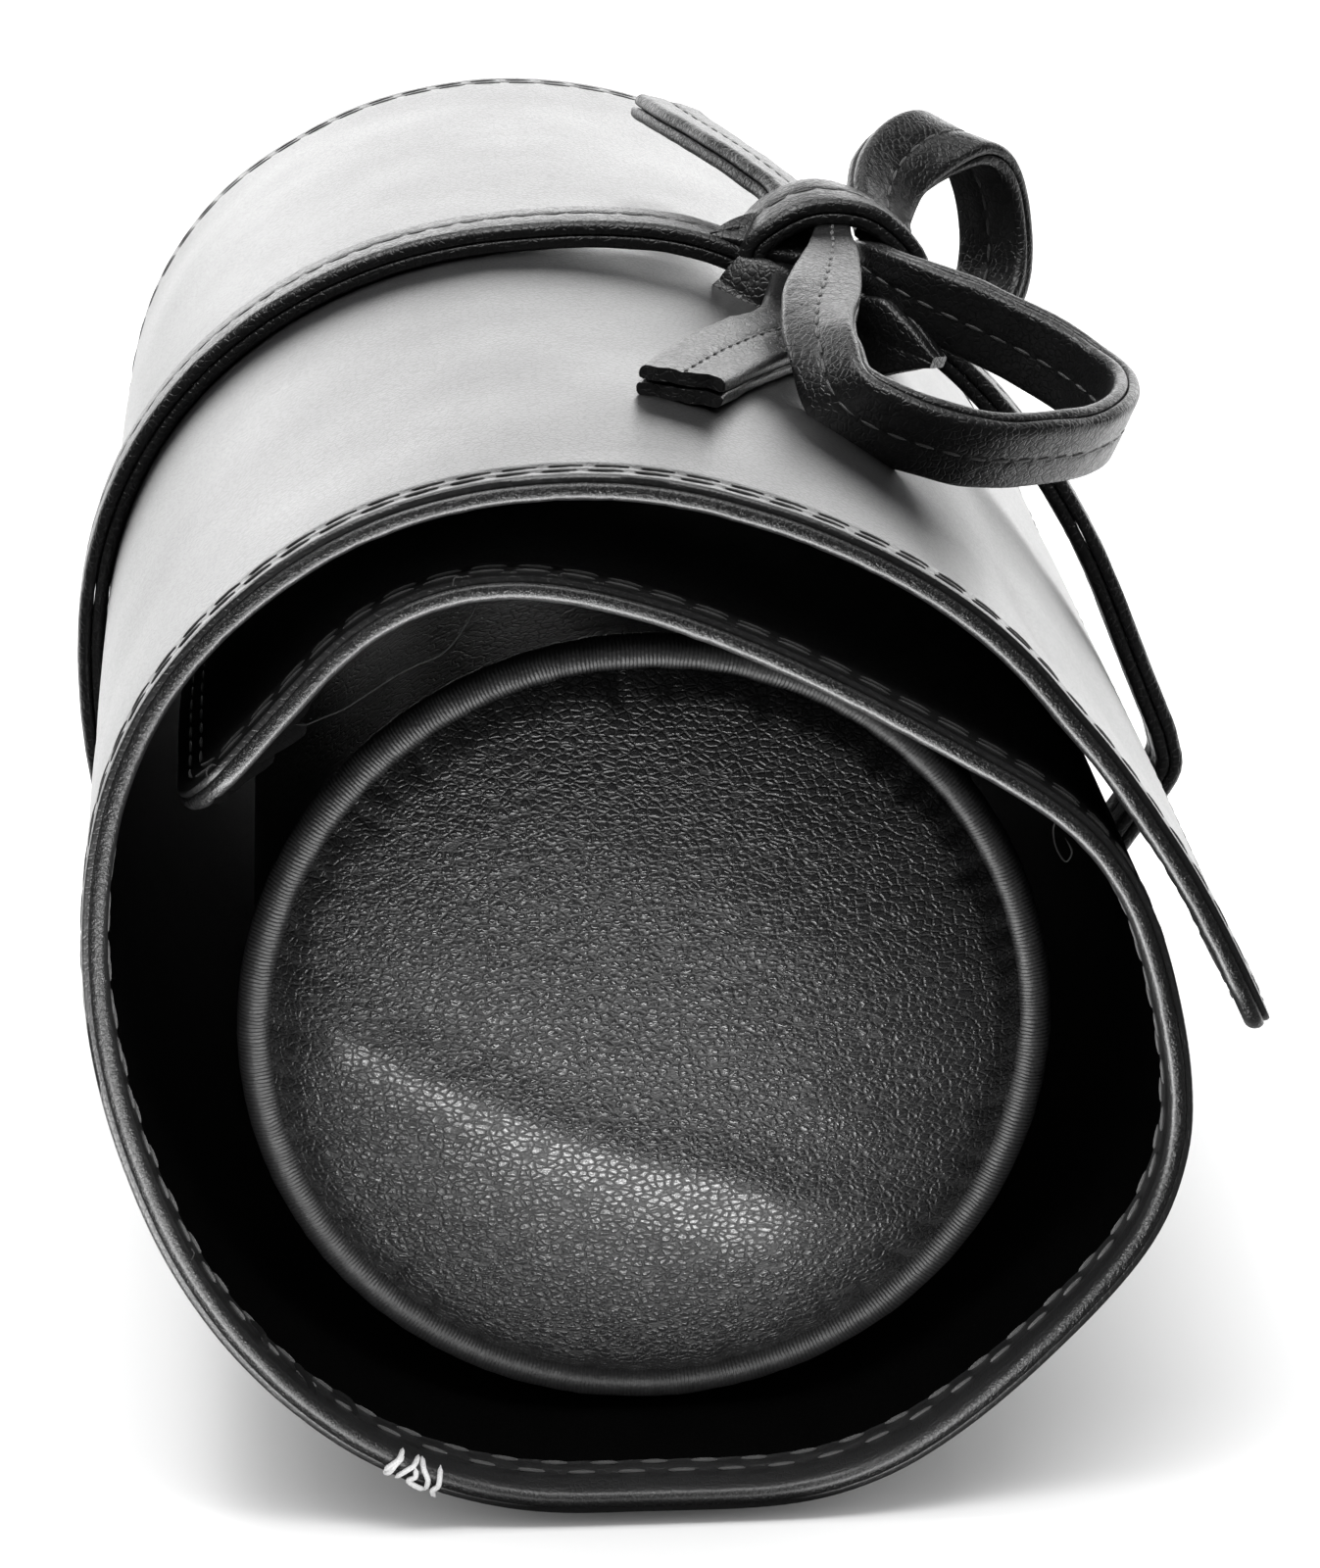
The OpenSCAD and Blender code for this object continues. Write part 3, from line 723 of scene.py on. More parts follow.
class RollCaps(bpy.types.Operator):
    """Stuffs the bolster's two end caps"""
    bl_idname = "jewelry_roll.caps"
    bl_label = "End caps"

    def execute(self, context):
        slack = context.scene.bolster_sizes.puff
        finish = material("pebbled_leather", pebbled_leather,
                          context.scene.roll_finishes.cover)
        for name, side, seed in (("front", -1, 2.4), ("rear", 1, 6.1)):
            obj, x, z, reach = disc(name + "_cap_cover", CAP_RIM, CAP_LINES)
            dome = CROWN * (1 - (reach / CAP_RIM) ** 2.6)
            # Slack leather lies in shallow folds from the upper left down to the lower right
            fold = (wobble(x * 0.42 + z * 0.78, x * 0.2 - z * 0.08, seed, 5.5) * 0.75
                    + wobble(x * 0.5 + z * 0.85, x * 0.2 - z * 0.1, seed + 4, 14) * 0.8)
            start = dome + fold * np.clip((CAP_RIM - reach) / 8, 0, 1)
            sewn = reach > CAP_RIM - 0.3
            move_to(obj, np.stack([x, z, start], axis=1) * MM * STUFFING_SCALE)
            self.stuff(obj, sewn, slack)
            shape = coordinates(obj) / MM / STUFFING_SCALE
            height = np.clip(shape[:, 2], dome - 0.45, dome + 1.3)
            # One long crease runs down from the left, with smaller ones beside it
            slope = 0.4 * x + 0.92 * z + 7.4 + wobble(x * 0.3, z * 0.3, seed, 3) * 1.6
            crease = np.exp(-np.where(slope > 0, slope / 2.6, slope / 7) ** 2)
            height += (crease + fold * 0.3) * np.clip((CAP_RIM - reach) / 6, 0, 1)
            height = np.where(sewn, -0.2, height)
            move_to(obj, np.stack([BOLSTER_X + shape[:, 0], side * (SEAM_Y + height),
                                   BOLSTER_Z + shape[:, 1]], axis=1) * MM)
            apply_modifier(obj, "SUBSURF", levels=1, render_levels=1)
            apply_modifier(obj, "SOLIDIFY", thickness=0.25 * MM, offset=-side)
            close_up(obj, 60)
            dress(obj, "bolster", "cover_leather", finish, name + "_cap")
        return {"FINISHED"}

    def stuff(self, obj, sewn, slack):
        """Blows the cap up from inside with its rim held, so that the slack leather buckles."""
        held = obj.vertex_groups.new(name="seam")
        held.add([int(i) for i in np.nonzero(sewn)[0]], 1.0, "REPLACE")
        cloth = obj.modifiers.new("Leather", "CLOTH")
        settings = cloth.settings
        settings.quality = 5
        settings.mass = 0.15
        settings.tension_stiffness = settings.compression_stiffness = 20
        settings.shear_stiffness = 12
        settings.bending_stiffness = 2.5
        settings.vertex_group_mass = "seam"
        settings.shrink_min = -slack
        settings.use_pressure = True
        settings.uniform_pressure_force = 5
        settings.effector_weights.gravity = 0
        cloth.collision_settings.use_collision = False
        scene = bpy.context.scene
        for step in range(1, STUFFING_FRAMES + 1):
            scene.frame_set(step)
        select_only(obj)
        bpy.ops.object.modifier_apply(modifier=cloth.name)
        obj.vertex_groups.clear()
        scene.frame_set(1)


class RollSleeve(bpy.types.Operator):
    """Covers the bolster's barrel"""
    bl_idname = "jewelry_roll.sleeve"
    bl_label = "Bolster sleeve"

    def execute(self, context):
        deselect()
        bpy.ops.mesh.primitive_cylinder_add(vertices=180, radius=1, depth=2,
                                            end_fill_type="NOTHING")
        obj = named("sleeve_cover")
        bpy.ops.object.mode_set(mode="EDIT")
        bpy.ops.mesh.select_all(action="SELECT")
        bpy.ops.mesh.bisect(plane_co=(0, 0, 0), plane_no=(0, 0, 1))
        bpy.ops.mesh.select_all(action="SELECT")
        bpy.ops.mesh.subdivide(number_cuts=3)
        bpy.ops.object.mode_set(mode="OBJECT")
        p = coordinates(obj)
        angle = np.arctan2(p[:, 1], p[:, 0])
        y = p[:, 2] * (SEAM_Y - 1.2)
        swell = wobble(angle * 14, y, 4.4, 9) * 0.1 - 0.25 * dip(abs(y), SEAM_Y - 1.2, 3)
        r = SEAM_R - 0.1 + swell
        move_to(obj, round_bolster(r, angle, y))
        close_up(obj, 60)
        apply_modifier(obj, "SOLIDIFY", thickness=0.5 * MM, offset=-1)
        close_up(obj, 60)
        dress(obj, "bolster", "cover_leather", cover_leather(), "bolster_sleeve")
        return {"FINISHED"}


class RollPiping(bpy.types.Operator):
    """Sews the gathered piping round both ends of the bolster"""
    bl_idname = "jewelry_roll.piping"
    bl_label = "Piping"

    def execute(self, context):
        gathers = context.scene.bolster_sizes.gathers
        for name, side, seed in (("front", -1, 0.0), ("rear", 1, 40.0)):
            deselect()
            bpy.ops.mesh.primitive_torus_add(major_segments=1440, minor_segments=18,
                                             major_radius=1, minor_radius=0.1)
            obj = named(name + "_piping_cover")
            p = coordinates(obj)
            ring = np.hypot(p[:, 0], p[:, 1])
            angle = np.arctan2(p[:, 1], p[:, 0])
            around = np.arctan2(p[:, 2], ring - 1)
            run = angle * SEAM_R
            cos, sin = np.cos(angle), np.sin(angle)
            uneven = wobble(cos * 9, sin * 9, seed, 1)
            lean = run + 0.35 * np.sin(around) + 0.5 * uneven
            tight = np.clip(0.55 + 0.6 * wobble(cos * 1.7, sin * 1.7, seed + 5, 1), 0.15, 1)
            pucker = np.cos(lean / SEAM_R * gathers) * 0.045 + 0.05 * uneven
            r = PIPE_R - 0.06 + pucker * tight
            wave = 0.25 * np.sin(2 * angle + 1) + 0.15 * uneven
            radial = SEAM_R - 0.25 + 0.12 * wave + r * np.cos(around)
            y = side * (SEAM_Y + 0.1 * wave + r * np.sin(around))
            move_to(obj, round_bolster(radial, angle, y))
            close_up(obj, 80)
            dress(obj, "bolster", "cover_leather",
                  material("gathered_leather", gathered_leather,
                           context.scene.roll_finishes.cover), name + "_piping")
        return {"FINISHED"}


# The strap

def spline(rows, steps, closed=False):
    """A smooth line through rows, as a list of points."""
    rows = [np.array(r, dtype=float) for r in rows]
    n = len(rows)

    def row(i):
        return rows[i % n] if closed else rows[min(max(i, 0), n - 1)]

    points = []
    for i in range(n if closed else n - 1):
        a, b, c, d = row(i - 1), row(i), row(i + 1), row(i + 2)
        for k in range(steps):
            t = k / steps
            points.append(0.5 * (2 * b + (c - a) * t + (2 * a - 5 * b + 4 * c - d) * t * t
                                 + (3 * b - a - 3 * c + d) * t ** 3))
    points.append(row(0) if closed else rows[-1])
    return np.array(points)


def unit(v):
    return v / np.maximum(np.linalg.norm(v, axis=-1, keepdims=True), 1e-12)


def frames(places, across):
    """Directions across and through the strap at each place of its middle line."""
    run = unit(np.gradient(places, axis=0))
    w = unit(across - (across * run).sum(1, keepdims=True) * run)
    return run, w, np.cross(run, w)


def run_along(path):
    """How far along a path each of its points lies."""
    gaps = np.linalg.norm(np.diff(path, axis=0), axis=1)
    return np.concatenate([[0], np.cumsum(gaps)])


def resample(places, across, step):
    """Even steps along a line, so that the strap's rows are even."""
    far = run_along(places)
    count = max(4, round(far[-1] / step))
    at = np.linspace(0, far[-1], count + 1)
    pick = [np.stack([np.interp(at, far, line[:, k]) for k in range(3)], axis=1)
            for line in (places, across)]
    return pick[0], pick[1], at


def ease_line(line, width):
    """Evens out a line's kinks with a short moving average and keeps its ends."""
    padded = np.concatenate([np.repeat(line[:1], width, 0), line, np.repeat(line[-1:], width, 0)])
    kernel = np.ones(2 * width + 1) / (2 * width + 1)
    out = np.stack([np.convolve(padded[:, k], kernel, "valid") for k in range(3)], axis=1)
    share = np.clip(np.minimum(np.arange(len(line)), np.arange(len(line))[::-1]) / width, 0, 1)
    return line + (out - line) * share[:, None]


def knot_middle():
    x, z, _ = coil.at(KNOT_STATION * WRAP_R, -KNOT_LIFT)
    return np.array([float(x), 0, float(z)])


def round_route():
    """The strap's middle line round the roll, from the knot's left side to its right side."""
    def off(station, lift):
        x, z, _ = coil.at(station * WRAP_R, -(LIE + lift))
        return (float(x), 0.0, float(z))

    left = [off(s, lift) for s, lift in LEFT_LIFT]
    hug = [off(s, 0) for s in np.arange(2.45, STRAP_LEAVES, 0.1)] + [off(STRAP_LEAVES, 0)]
    tx, tz, _ = coil.at(0.0)
    bend = LIE + RIGHT_LIFT[0][1]
    leave = math.degrees(float(coil.at(STRAP_LEAVES * WRAP_R)[2])) - 360
    turns = np.radians(np.arange(leave - 90, TAIL_HEADING - 94, 8))
    tail = [(float(tx) + bend * math.cos(a), 0.0, float(tz) + bend * math.sin(a)) for a in turns]
    right = [off(s, lift) for s, lift in RIGHT_LIFT]
    return left + hug + tail + right


def strap_ply(name, places, across, side, at, seed, widths, cut):
    """One ply of the strap along its middle line; side is 1 for the face away from the roll.
    Widths are shares of the full width at even steps along it."""
    sizes = bpy.context.scene.tie_sizes
    half = sizes.width / 2 / MM
    ply = sizes.ply / MM
    lines = np.array([0.06, 0.13, 0.3, 0.55, 0.76, 0.88, 0.95, 0.985, 1])
    columns = half * np.concatenate([-lines[::-1], [0], lines])
    rows = np.arange(len(places), dtype=float)
    obj, u, r = blank(name, columns, rows)
    index = r.astype(int)
    run, w, b = frames(places, across)
    edge = half - abs(u)
    pitch = sizes.stitch_pitch / MM
    last = np.clip(at[index] - at[-1] + 2, 0, 2) / 2 * cut
    ragged = last * (wobble(u, u * 0 + seed, 2.2, 1.3) * 0.7 - 0.25)
    crown = 0.1 * (1 - (u / half) ** 2)
    ripple = wobble(at[index], u, seed, 2.2) * 0.05
    seam = (0.12 + 0.08 * np.cos(2 * math.pi * at[index] / pitch)) * dip(u, 0, 0.35)
    outer = ply - rounded(edge, 0.6) - 0.06 + crown - seam + ripple
    inner = 0.02 + rounded(edge, 0.3) + 0.12 * last ** 2 * (1 + wobble(u, u * 0, seed, 2))
    share = np.interp(at / at[-1], np.linspace(0, 1, len(widths)), widths)
    wide = u + wobble(at[index], u * 0, seed + 3, 5) * 0.12 * np.sign(u) * (abs(u) > half * 0.5)
    wide *= share[index]
    faces = []
    for lift in (outer, inner):
        faces.append(places[index] + w[index] * wide[:, None] + b[index] * (side * lift)[:, None]
                     + run[index] * ragged[:, None])
    move_to(obj, np.concatenate(faces) * MM)
    close_up(obj, 60)
    return obj


def strap_piece(name, nodes, rows, seed, steps=10, step=0.7, middle=None, closed=False,
                widths=(1, 1), cut=False):
    """A two-ply length of strap along a route; one that is cut ends raggedly."""
    middle = knot_middle() if middle is None else middle
    places = spline([r[0] for r in rows], steps, closed) + middle
    across = unit(spline([r[1] for r in rows], steps, closed))
    places, across, at = resample(places, across, step)
    if not closed:
        places = ease_line(places, 3)
    plies = [strap_ply(name + str(k), places, across, side, at, seed + k, widths, cut)
             for k, side in enumerate((1, -1))]
    obj = join(name, plies)
    dress(obj, "tie", "strap_leather", strap_leather(), *nodes)
    return places, across


# Stitches

def stitch_row(name, path, length, pitch, thick, start=0.5):
    """A row of stitches along a path of points, in millimetres; start is in pitches."""
    far = run_along(path)[-1]
    line = bpy.data.curves.new(name + "_line", "CURVE")
    line.dimensions = "3D"
    run = line.splines.new("POLY")
    run.points.add(len(path) - 1)
    run.points.foreach_set("co", np.column_stack([path * MM, np.ones(len(path))]).ravel())
    guide = bpy.data.objects.new(name + "_line", line)
    bpy.context.collection.objects.link(guide)
    deselect()
    bpy.ops.mesh.primitive_uv_sphere_add(segments=6, ring_count=5, radius=thick / 2 * MM)
    obj = named(name)
    bpy.ops.object.mode_set(mode="EDIT")
    bpy.ops.mesh.select_all(action="SELECT")
    bpy.ops.transform.rotate(value=math.pi / 2, orient_axis="Y", center_override=(0, 0, 0))
    bpy.ops.transform.resize(value=(length / thick, 1, 1), center_override=(0, 0, 0))
    bpy.ops.transform.translate(value=(pitch * start * MM, 0, 0))
    bpy.ops.object.mode_set(mode="OBJECT")
    apply_modifier(obj, "ARRAY", count=max(1, int(far / pitch)), use_relative_offset=False,
                   use_constant_offset=True, constant_offset_displace=(pitch * MM, 0, 0))
    apply_modifier(obj, "CURVE", object=guide, deform_axis="POS_X")
    bpy.data.objects.remove(guide)
    return obj


def tube(name, places, thick, flat=1, sides=7, steps=6):
    """A thread or a flat leaf through rough places, in millimetres, that thins at its ends."""
    places = spline(places, steps)
    run = unit(np.gradient(places, axis=0))
    side = unit(np.cross(run, np.array([0.05, 1, 0.02])))
    up = np.cross(run, side) * flat
    share = np.linspace(0, 1, len(places))
    radius = thick / 2 * np.clip(np.minimum(share, 1 - share) * 8, 0.25, 1)
    turns = np.arange(sides) / sides * 2 * math.pi
    rings = (places[:, None] + radius[:, None, None] * (
        np.cos(turns)[None, :, None] * side[:, None] + np.sin(turns)[None, :, None] * up[:, None]))
    n = len(places)
    faces = [(k * sides + j, k * sides + (j + 1) % sides, (k + 1) * sides + (j + 1) % sides,
              (k + 1) * sides + j) for k in range(n - 1) for j in range(sides)]
    faces += [tuple(range(sides)), tuple((n - 1) * sides + j for j in range(sides))]
    mesh = bpy.data.meshes.new(name)
    mesh.from_pydata((rings.reshape(-1, 3) * MM).tolist(), [], faces)
    obj = bpy.data.objects.new(name, mesh)
    bpy.context.collection.objects.link(obj)
    close_up(obj, 80)
    return obj


def seam_path(inset, depth):
    """The sheet's seam: round its edge at an inset, at a depth from the outer face."""
    half = bpy.context.scene.roll_sizes.roll_length / 2 / MM - inset
    low, high = inset, SHEET_L - inset
    r = max(bpy.context.scene.roll_sizes.corner_radius / MM - inset, 0.5)
    flat = []
    for cx, cs, start in ((half - r, low + r, -90), (half - r, high - r, 0),
                          (-half + r, high - r, 90), (-half + r, low + r, 180)):
        for a in np.radians(start + np.arange(0, 91, 15)):
            flat.append((cx + r * math.cos(a), cs + r * math.sin(a)))
    flat.append(flat[0])
    flat = np.array(flat)
    far = run_along(flat)
    at = np.arange(0, far[-1], 0.5)
    y, s = np.interp(at, far, flat[:, 0]), np.interp(at, far, flat[:, 1])
    x, z, _ = coil.at(s, depth + sag(s, y))
    return np.stack([x, y, z], axis=1)


class RollStitches(bpy.types.Operator):
    """Sews the sheet's hem on both faces"""
    bl_idname = "jewelry_roll.stitches"
    bl_label = "Hem stitches"

    def execute(self, context):
        sizes = context.scene.roll_sizes
        seam = sizes.seam_inset / MM
        pitch = sizes.stitch_pitch / MM
        thick = sizes.thread / MM
        back, gap = sizes.back_inset / MM, sizes.back_rows / MM
        long = sizes.back_pitch / MM
        rows = [stitch_row("outer_stitches", seam_path(inset, OUTER_SEAM), pitch * 0.8, pitch,
                           thick, start)
                for inset, start in ((seam, 0.5), (seam + gap, 0.85))]
        rows += [stitch_row("inner_stitches", seam_path(inset, INNER_SEAM), long * 0.55, long,
                            thick * 1.2) for inset in (back, back + gap)]
        obj = join("hem_stitches", rows)
        bpy.ops.object.shade_smooth()
        dress(obj, "roll", "black_leather", black_thread())
        return {"FINISHED"}


# Worn places of the sheet's rim: (station, depth inside the outer face, place along the roll)
TACK = (((183.7, 2.1, -72.9), (183.6, 1.7, -74.0), (183.2, 1, -74.2), (182.9, 0.3, -74.1)),
        ((183.9, 1.9, -73.7), (183.5, 1.2, -74.2), (183.3, 0.4, -74.2), (183, 0, -73.6)),
        ((185.1, 2.1, -72.9), (184.9, 1.7, -74.0), (184.4, 1, -74.2), (183.9, 0.1, -74)),
        ((185.0, 1.6, -74.1), (185.3, 0.9, -74.2), (184.9, 0.4, -74.2), (185.6, 0.2, -74.2),
         (186.4, 0.1, -74)),
        ((185.4, 2.1, -72.9), (185.7, 1.7, -74.0), (186.3, 1, -74.2), (186.4, 0.1, -74)),
        ((187, 2.1, -73.2), (187.1, 1.5, -74.1), (187.2, 0.8, -74.2), (186.9, 0.3, -74.2),
         (187.3, -0.2, -74)))
LOOSE = (((355.6, 2.4, -72.6), (355.2, 3.2, -72), (354, 3.8, -72), (352.5, 4.5, -72),
          (350.8, 4.9, -72), (347.5, 5.3, -72), (344.8, 5.5, -72), (341.6, 5.5, -72),
          (339, 4.2, -72), (336.8, 1.8, -72)),
         ((288, 1.8, -71.6), (286.8, 3.1, -70), (285.4, 3.9, -70), (284, 4, -70.3),
          (284.6, 3.1, -71), (286, 2.7, -71)),
         ((338.9, 0.2, -74), (338.6, -0.4, -74.2), (338.2, -0.3, -73.8)),
         ((159.3, 1.9, -73.9), (159.0, 2.3, -73.6), (158.6, 2.2, -73.2)),
         ((362.6, 0.2, -74), (362.3, -0.3, -74), (361.7, -0.4, -73.8), (361.4, -0.1, -74)))
# Leaves of leather that have split off the hem: (path, width)
LEAVES = ((((359.6, 1.7, -73.2), (358.2, 2.2, -72.8), (356.6, 2.8, -72.4), (355.2, 3.2, -72)),
           1.3),
          (((358, 1.9, -73), (356.6, 2.2, -72.6), (355.2, 2.3, -72.4), (353.8, 2.4, -72)), 0.6),
          (((355, 1.8, -73.4), (353.8, 2.1, -73), (352.3, 2.2, -72.6)), 0.25),
          (((362.6, 1.8, -73), (361.2, 2.2, -72.8), (359.8, 2.6, -72.6), (358.4, 2.9, -72.4)),
           0.9),
          (((364, 1.8, -73), (362.8, 2.2, -72.8), (361.4, 2.4, -72.4), (360.4, 2.5, -72.2)), 0.6),
          (((175.4, 1.9, -72.6), (174, 2.5, -72.2), (172.4, 2.6, -71.8)), 0.5),
          (((179.6, 1.9, -71.6), (178.4, 2.6, -71.2), (176.6, 2.5, -71)), 0.45),
          (((170, 1.9, -72.4), (168.8, 2.5, -71.8), (167.2, 2.4, -71.4)), 0.4))


class RollWear(bpy.types.Operator):
    """Adds the bar tack, the loose threads and the split leaves of the worn hem"""
    bl_idname = "jewelry_roll.wear"
    bl_label = "Wear"

    def execute(self, context):
        finishes = context.scene.roll_finishes

        def on_rim(row):
            s, depth, y = (np.array(part) for part in zip(*row))
            x, z, _ = coil.at(s, depth + sag(s, y))
            return np.stack([x, y, z], axis=1)

        tack = join("bar_tack", [tube("tack", on_rim(row), 0.44) for row in TACK])
        dress(tack, "roll", "black_leather",
              material("light_thread", thread_finish, finishes.tack))
        thin = join("loose_threads", [tube("loose", on_rim(row), 0.1) for row in LOOSE])
        dress(thin, "roll", "black_leather",
              material("grey_thread", thread_finish, shade(finishes.tack, 0.06)))
        leaves = join("split_leaves", [tube("leaf", on_rim(row), wide, flat=0.14)
                                       for row, wide in LEAVES])
        dress(leaves, "roll", "black_leather", sheet_leather())
        return {"FINISHED"}


def strap_seams(context, name, places, across, sides=(1, -1)):
    sizes = context.scene.tie_sizes
    ply = sizes.ply / MM
    pitch = sizes.stitch_pitch / MM
    thick = context.scene.roll_sizes.thread / MM
    _, _, b = frames(places, across)
    rows = [stitch_row(name + str(k), places + b * side * (ply - 0.06), pitch * 0.74, pitch, thick)
            for k, side in enumerate(sides)]
    obj = join(name, rows)
    bpy.ops.object.shade_smooth()
    dress(obj, "tie", "strap_leather", black_thread())


class RollStrap(bpy.types.Operator):
    """Lays the strap round the roll"""
    bl_idname = "jewelry_roll.strap"
    bl_label = "Strap"

    def execute(self, context):
        rows = [(place, (0, 1, 0)) for place in round_route()]
        places, across = strap_piece("strap_run", ("strap_outer_ply", "strap_inner_ply"),
                                     rows, 1.0, steps=4, step=0.9, middle=np.zeros(3))
        strap_seams(context, "strap_run_stitches", places, across)
        return {"FINISHED"}


class RollBow(bpy.types.Operator):
    """Ties the bow: its knot, its two loops and its two ends"""
    bl_idname = "jewelry_roll.bow"
    bl_label = "Bow"

    def execute(self, context):
        for name, nodes, rows, seed, widths in (
                ("front_loop", ("bow_loop_front",), FRONT_LOOP, 2.0,
                 (0.35, 0.6, 0.85) + (1,) * 11 + (0.86, 0.8, 0.85, 0.9, 0.86, 0.75, 0.63, 0.5,
                                                  0.42)),
                ("rear_loop", ("bow_loop_rear",), REAR_LOOP, 5.0, (0.7, 1, 1, 1, 1, 1, 0.8)),
                ("short_end", ("tie_end_short",), SHORT_END, 8.0, (0.8, 0.95, 1, 1, 1)),
                ("long_end", ("tie_end_long",), LONG_END, 11.0, (0.75, 0.95, 1, 1, 0.95))):
            places, across = strap_piece(name, nodes, rows, seed, widths=widths,
                                         cut=name.endswith("end"))
            strap_seams(context, name + "_stitches", places, across)
        strap_piece("knot_tuck", (), KNOT_TUCK, 17.0, widths=(0.8, 1.1, 1.1, 1, 0.8, 0.5))
        # A dark strap fold that partly stands for the shade under the front loop: painted shade
        strap_piece("knot_fold", (), KNOT_FOLD_AND_SHADE, 18.0, widths=(0.6, 0.85, 1, 0.6, 0.15))
        strap_piece("knot_ear", (), KNOT_EAR, 19.0, step=0.4,
                    widths=(0.8, 0.9, 0.8, 0.6, 0.35, 0.05))
        places, across = strap_piece("knot_wrap", ("bow_knot",), KNOT_WRAP, 14.0,
                                     closed=True)
        strap_seams(context, "knot_wrap_stitches", places, across, (1,))
        return {"FINISHED"}


class RollHidden(bpy.types.Operator):
    """Gives the stuffing and the piping cords their finishes"""
    bl_idname = "jewelry_roll.hidden"
    bl_label = "Hidden parts"

    def execute(self, context):
        foam = material("stuffing_foam", hidden_finish, (0.2, 0.2, 0.2), 1.2 * MM)
        cord = material("twisted_cord", hidden_finish, (0.7, 0.7, 0.66), 0.4 * MM)
        for name, finish in (("bolster_core", foam), ("front_cap_padding", foam),
                             ("rear_cap_padding", foam), ("front_piping_cord", cord),
                             ("rear_piping_cord", cord)):
            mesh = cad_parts[name].data
            mesh.materials.clear()
            mesh.materials.append(finish)
        return {"FINISHED"}


# The stage, in metres, watts and degrees

LAMPS = (("overhead", (0.0, 0.2, 1.3), (0, 0.2, 0), (1.8, 1.6), 10),
         ("key_strip", (-0.3, 0.1, 1.2), (0, 0, 0.08), (0.6, 0.16), 4),
         ("rim_strip", (0.0, -0.52, 1.3), (0, -0.07, 0.04), (1.3, 0.3), 9),
         ("back_softbox", (0.0, 1.5, 0.42), (0, 0.0, 0.06), (4.0, 0.74), 27))
CARD = ((-0.03, -0.118, 0.002), (0, 0, 1), (0.11, 0.03), 0.2, (math.pi, 0, math.radians(26)))
SENSOR, FOCAL_SHARE = 36, 5700 / 1600
CAMERA_PLACE, CAMERA_TURN = (-0.0265, -0.4654, 0.19135), (90 - 18.41, 0.09, -3.80)


def lamp(name, place, target, size, power, turn=None):
    light = bpy.data.lights.new(name, "AREA")
    light.shape = "RECTANGLE"
    light.size, light.size_y = size
    light.energy = power
    obj = bpy.data.objects.new(name, light)
    bpy.context.collection.objects.link(obj)
    obj.location = place
    aim = Vector(target) - Vector(place)
    obj.rotation_euler = turn or aim.to_track_quat("-Z", "Y").to_euler()
    obj.visible_camera = False
    return obj


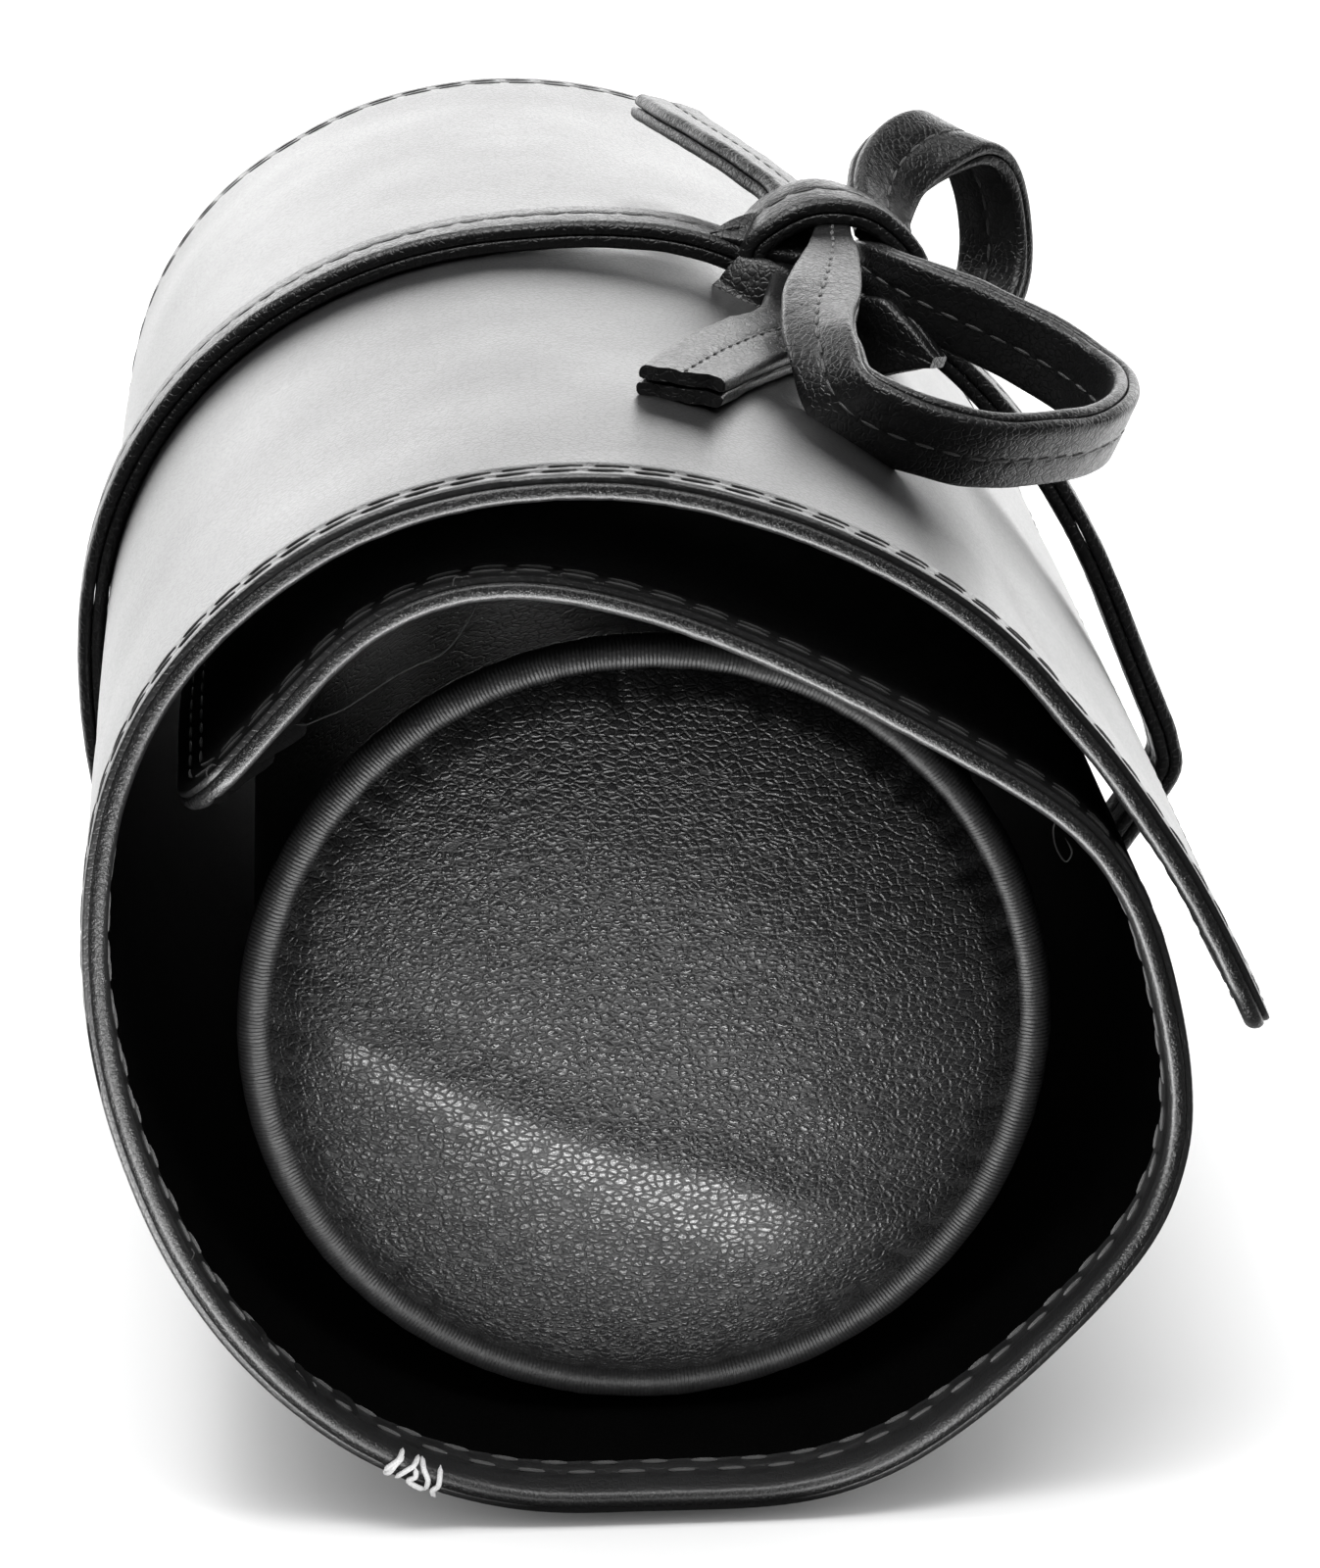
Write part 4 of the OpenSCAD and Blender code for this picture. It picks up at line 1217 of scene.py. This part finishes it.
class RollStage(bpy.types.Operator):
    """Sets up the white table, the lamps and the camera"""
    bl_idname = "jewelry_roll.stage"
    bl_label = "Stage"

    def execute(self, context):
        scene = context.scene
        scene.view_settings.view_transform = "Standard"
        deselect()
        bpy.ops.mesh.primitive_plane_add(size=2, location=(0, 0, 0))
        floor = named("floor")
        bpy.ops.object.mode_set(mode="EDIT")
        bpy.ops.transform.resize(value=(2.2, 1.825, 1), center_override=(0, 0, 0))
        bpy.ops.transform.translate(value=(0, 1.675, 0))
        bpy.ops.object.mode_set(mode="OBJECT")
        white = Shader("white_table")
        # In front of the roll the table is kept out of the leather's gloss
        mirrored = white.add("ShaderNodeLightPath", {}, {}, "Is Glossy Ray")
        behind = white.add("ShaderNodeSeparateXYZ", {}, {0: white.place}, output=1)
        dark = mirrored * (1 - behind.smooth(-0.06, 0.04)) * 0.96
        level = white.cloud(white.place, 0.3) * 0.02 + 0.92
        floor.data.materials.append(white.finish(
            base_color=white.mixed(level * (1 - dark), (0, 0, 0), (1, 1, 1)),
            roughness=0.7, specular_ior_level=0.1))

        world = bpy.data.worlds.new("white_room")
        scene.world = world
        room = Graph(world)
        back = room.nodes["Background"]
        back.inputs["Color"].default_value = (1, 1, 1, 1)
        # White behind the object, pale on what it lights, and dim in what mirrors the room
        camera_ray, diffuse_ray, glossy_ray = (
            room.add("ShaderNodeLightPath", {}, {}, f"Is {kind} Ray")
            for kind in ("Camera", "Diffuse", "Glossy"))
        room.feed(back.inputs["Strength"],
                  camera_ray + diffuse_ray * 0.75 + glossy_ray * 0.03)

        for name, place, target, size, power in LAMPS:
            lamp(name, place, target, size, power)
        # The card shines on chosen pieces alone, as the bolster slides out over it
        card = lamp("table_card", *CARD)
        card.light_linking.receiver_collection = bpy.data.collections.new("card_lit")

        camera = bpy.data.cameras.new("camera")
        camera.sensor_width = SENSOR
        camera.lens = FOCAL_SHARE * SENSOR
        camera.clip_start, camera.clip_end = 0.01, 20
        obj = bpy.data.objects.new("camera", camera)
        context.collection.objects.link(obj)
        obj.location = CAMERA_PLACE
        obj.rotation_euler = Euler([math.radians(turn) for turn in CAMERA_TURN])
        scene.camera = obj
        return {"FINISHED"}


OPERATORS = (RollStage, RollLeather, RollLining, RollSleeve, RollCaps, RollPiping, RollStrap,
             RollBow, RollStitches, RollWear, RollHidden)


class RollPanel(bpy.types.Panel):
    bl_label = "Jewelry Roll"
    bl_idname = "VIEW3D_PT_jewelry_roll"
    bl_space_type = "VIEW_3D"
    bl_region_type = "UI"
    bl_category = "Jewelry Roll"

    def draw(self, context):
        layout = self.layout
        scene = context.scene
        for group in (scene.roll_sizes, scene.bolster_sizes, scene.tie_sizes,
                      scene.roll_finishes):
            box = layout.box()
            for key in group.bl_rna.properties.keys():
                if key not in ("rna_type", "name"):
                    box.prop(group, key)
        for operator in OPERATORS:
            layout.operator(operator.bl_idname)


GROUPS = (("roll_sizes", RollSizes), ("bolster_sizes", BolsterSizes), ("tie_sizes", TieSizes),
          ("roll_finishes", Finishes))


def register():
    for name, group in GROUPS:
        bpy.utils.register_class(group)
        setattr(bpy.types.Scene, name, bpy.props.PointerProperty(type=group))
    for item in OPERATORS + (RollPanel,):
        bpy.utils.register_class(item)


def unregister():
    for item in (RollPanel,) + OPERATORS[::-1]:
        bpy.utils.unregister_class(item)
    for name, group in GROUPS[::-1]:
        delattr(bpy.types.Scene, name)
        bpy.utils.unregister_class(group)


def main():
    register()
    for operator in OPERATORS:
        kit, name = operator.bl_idname.split(".")
        getattr(getattr(bpy.ops, kit), name)()


if __name__ == "__main__":
    main()
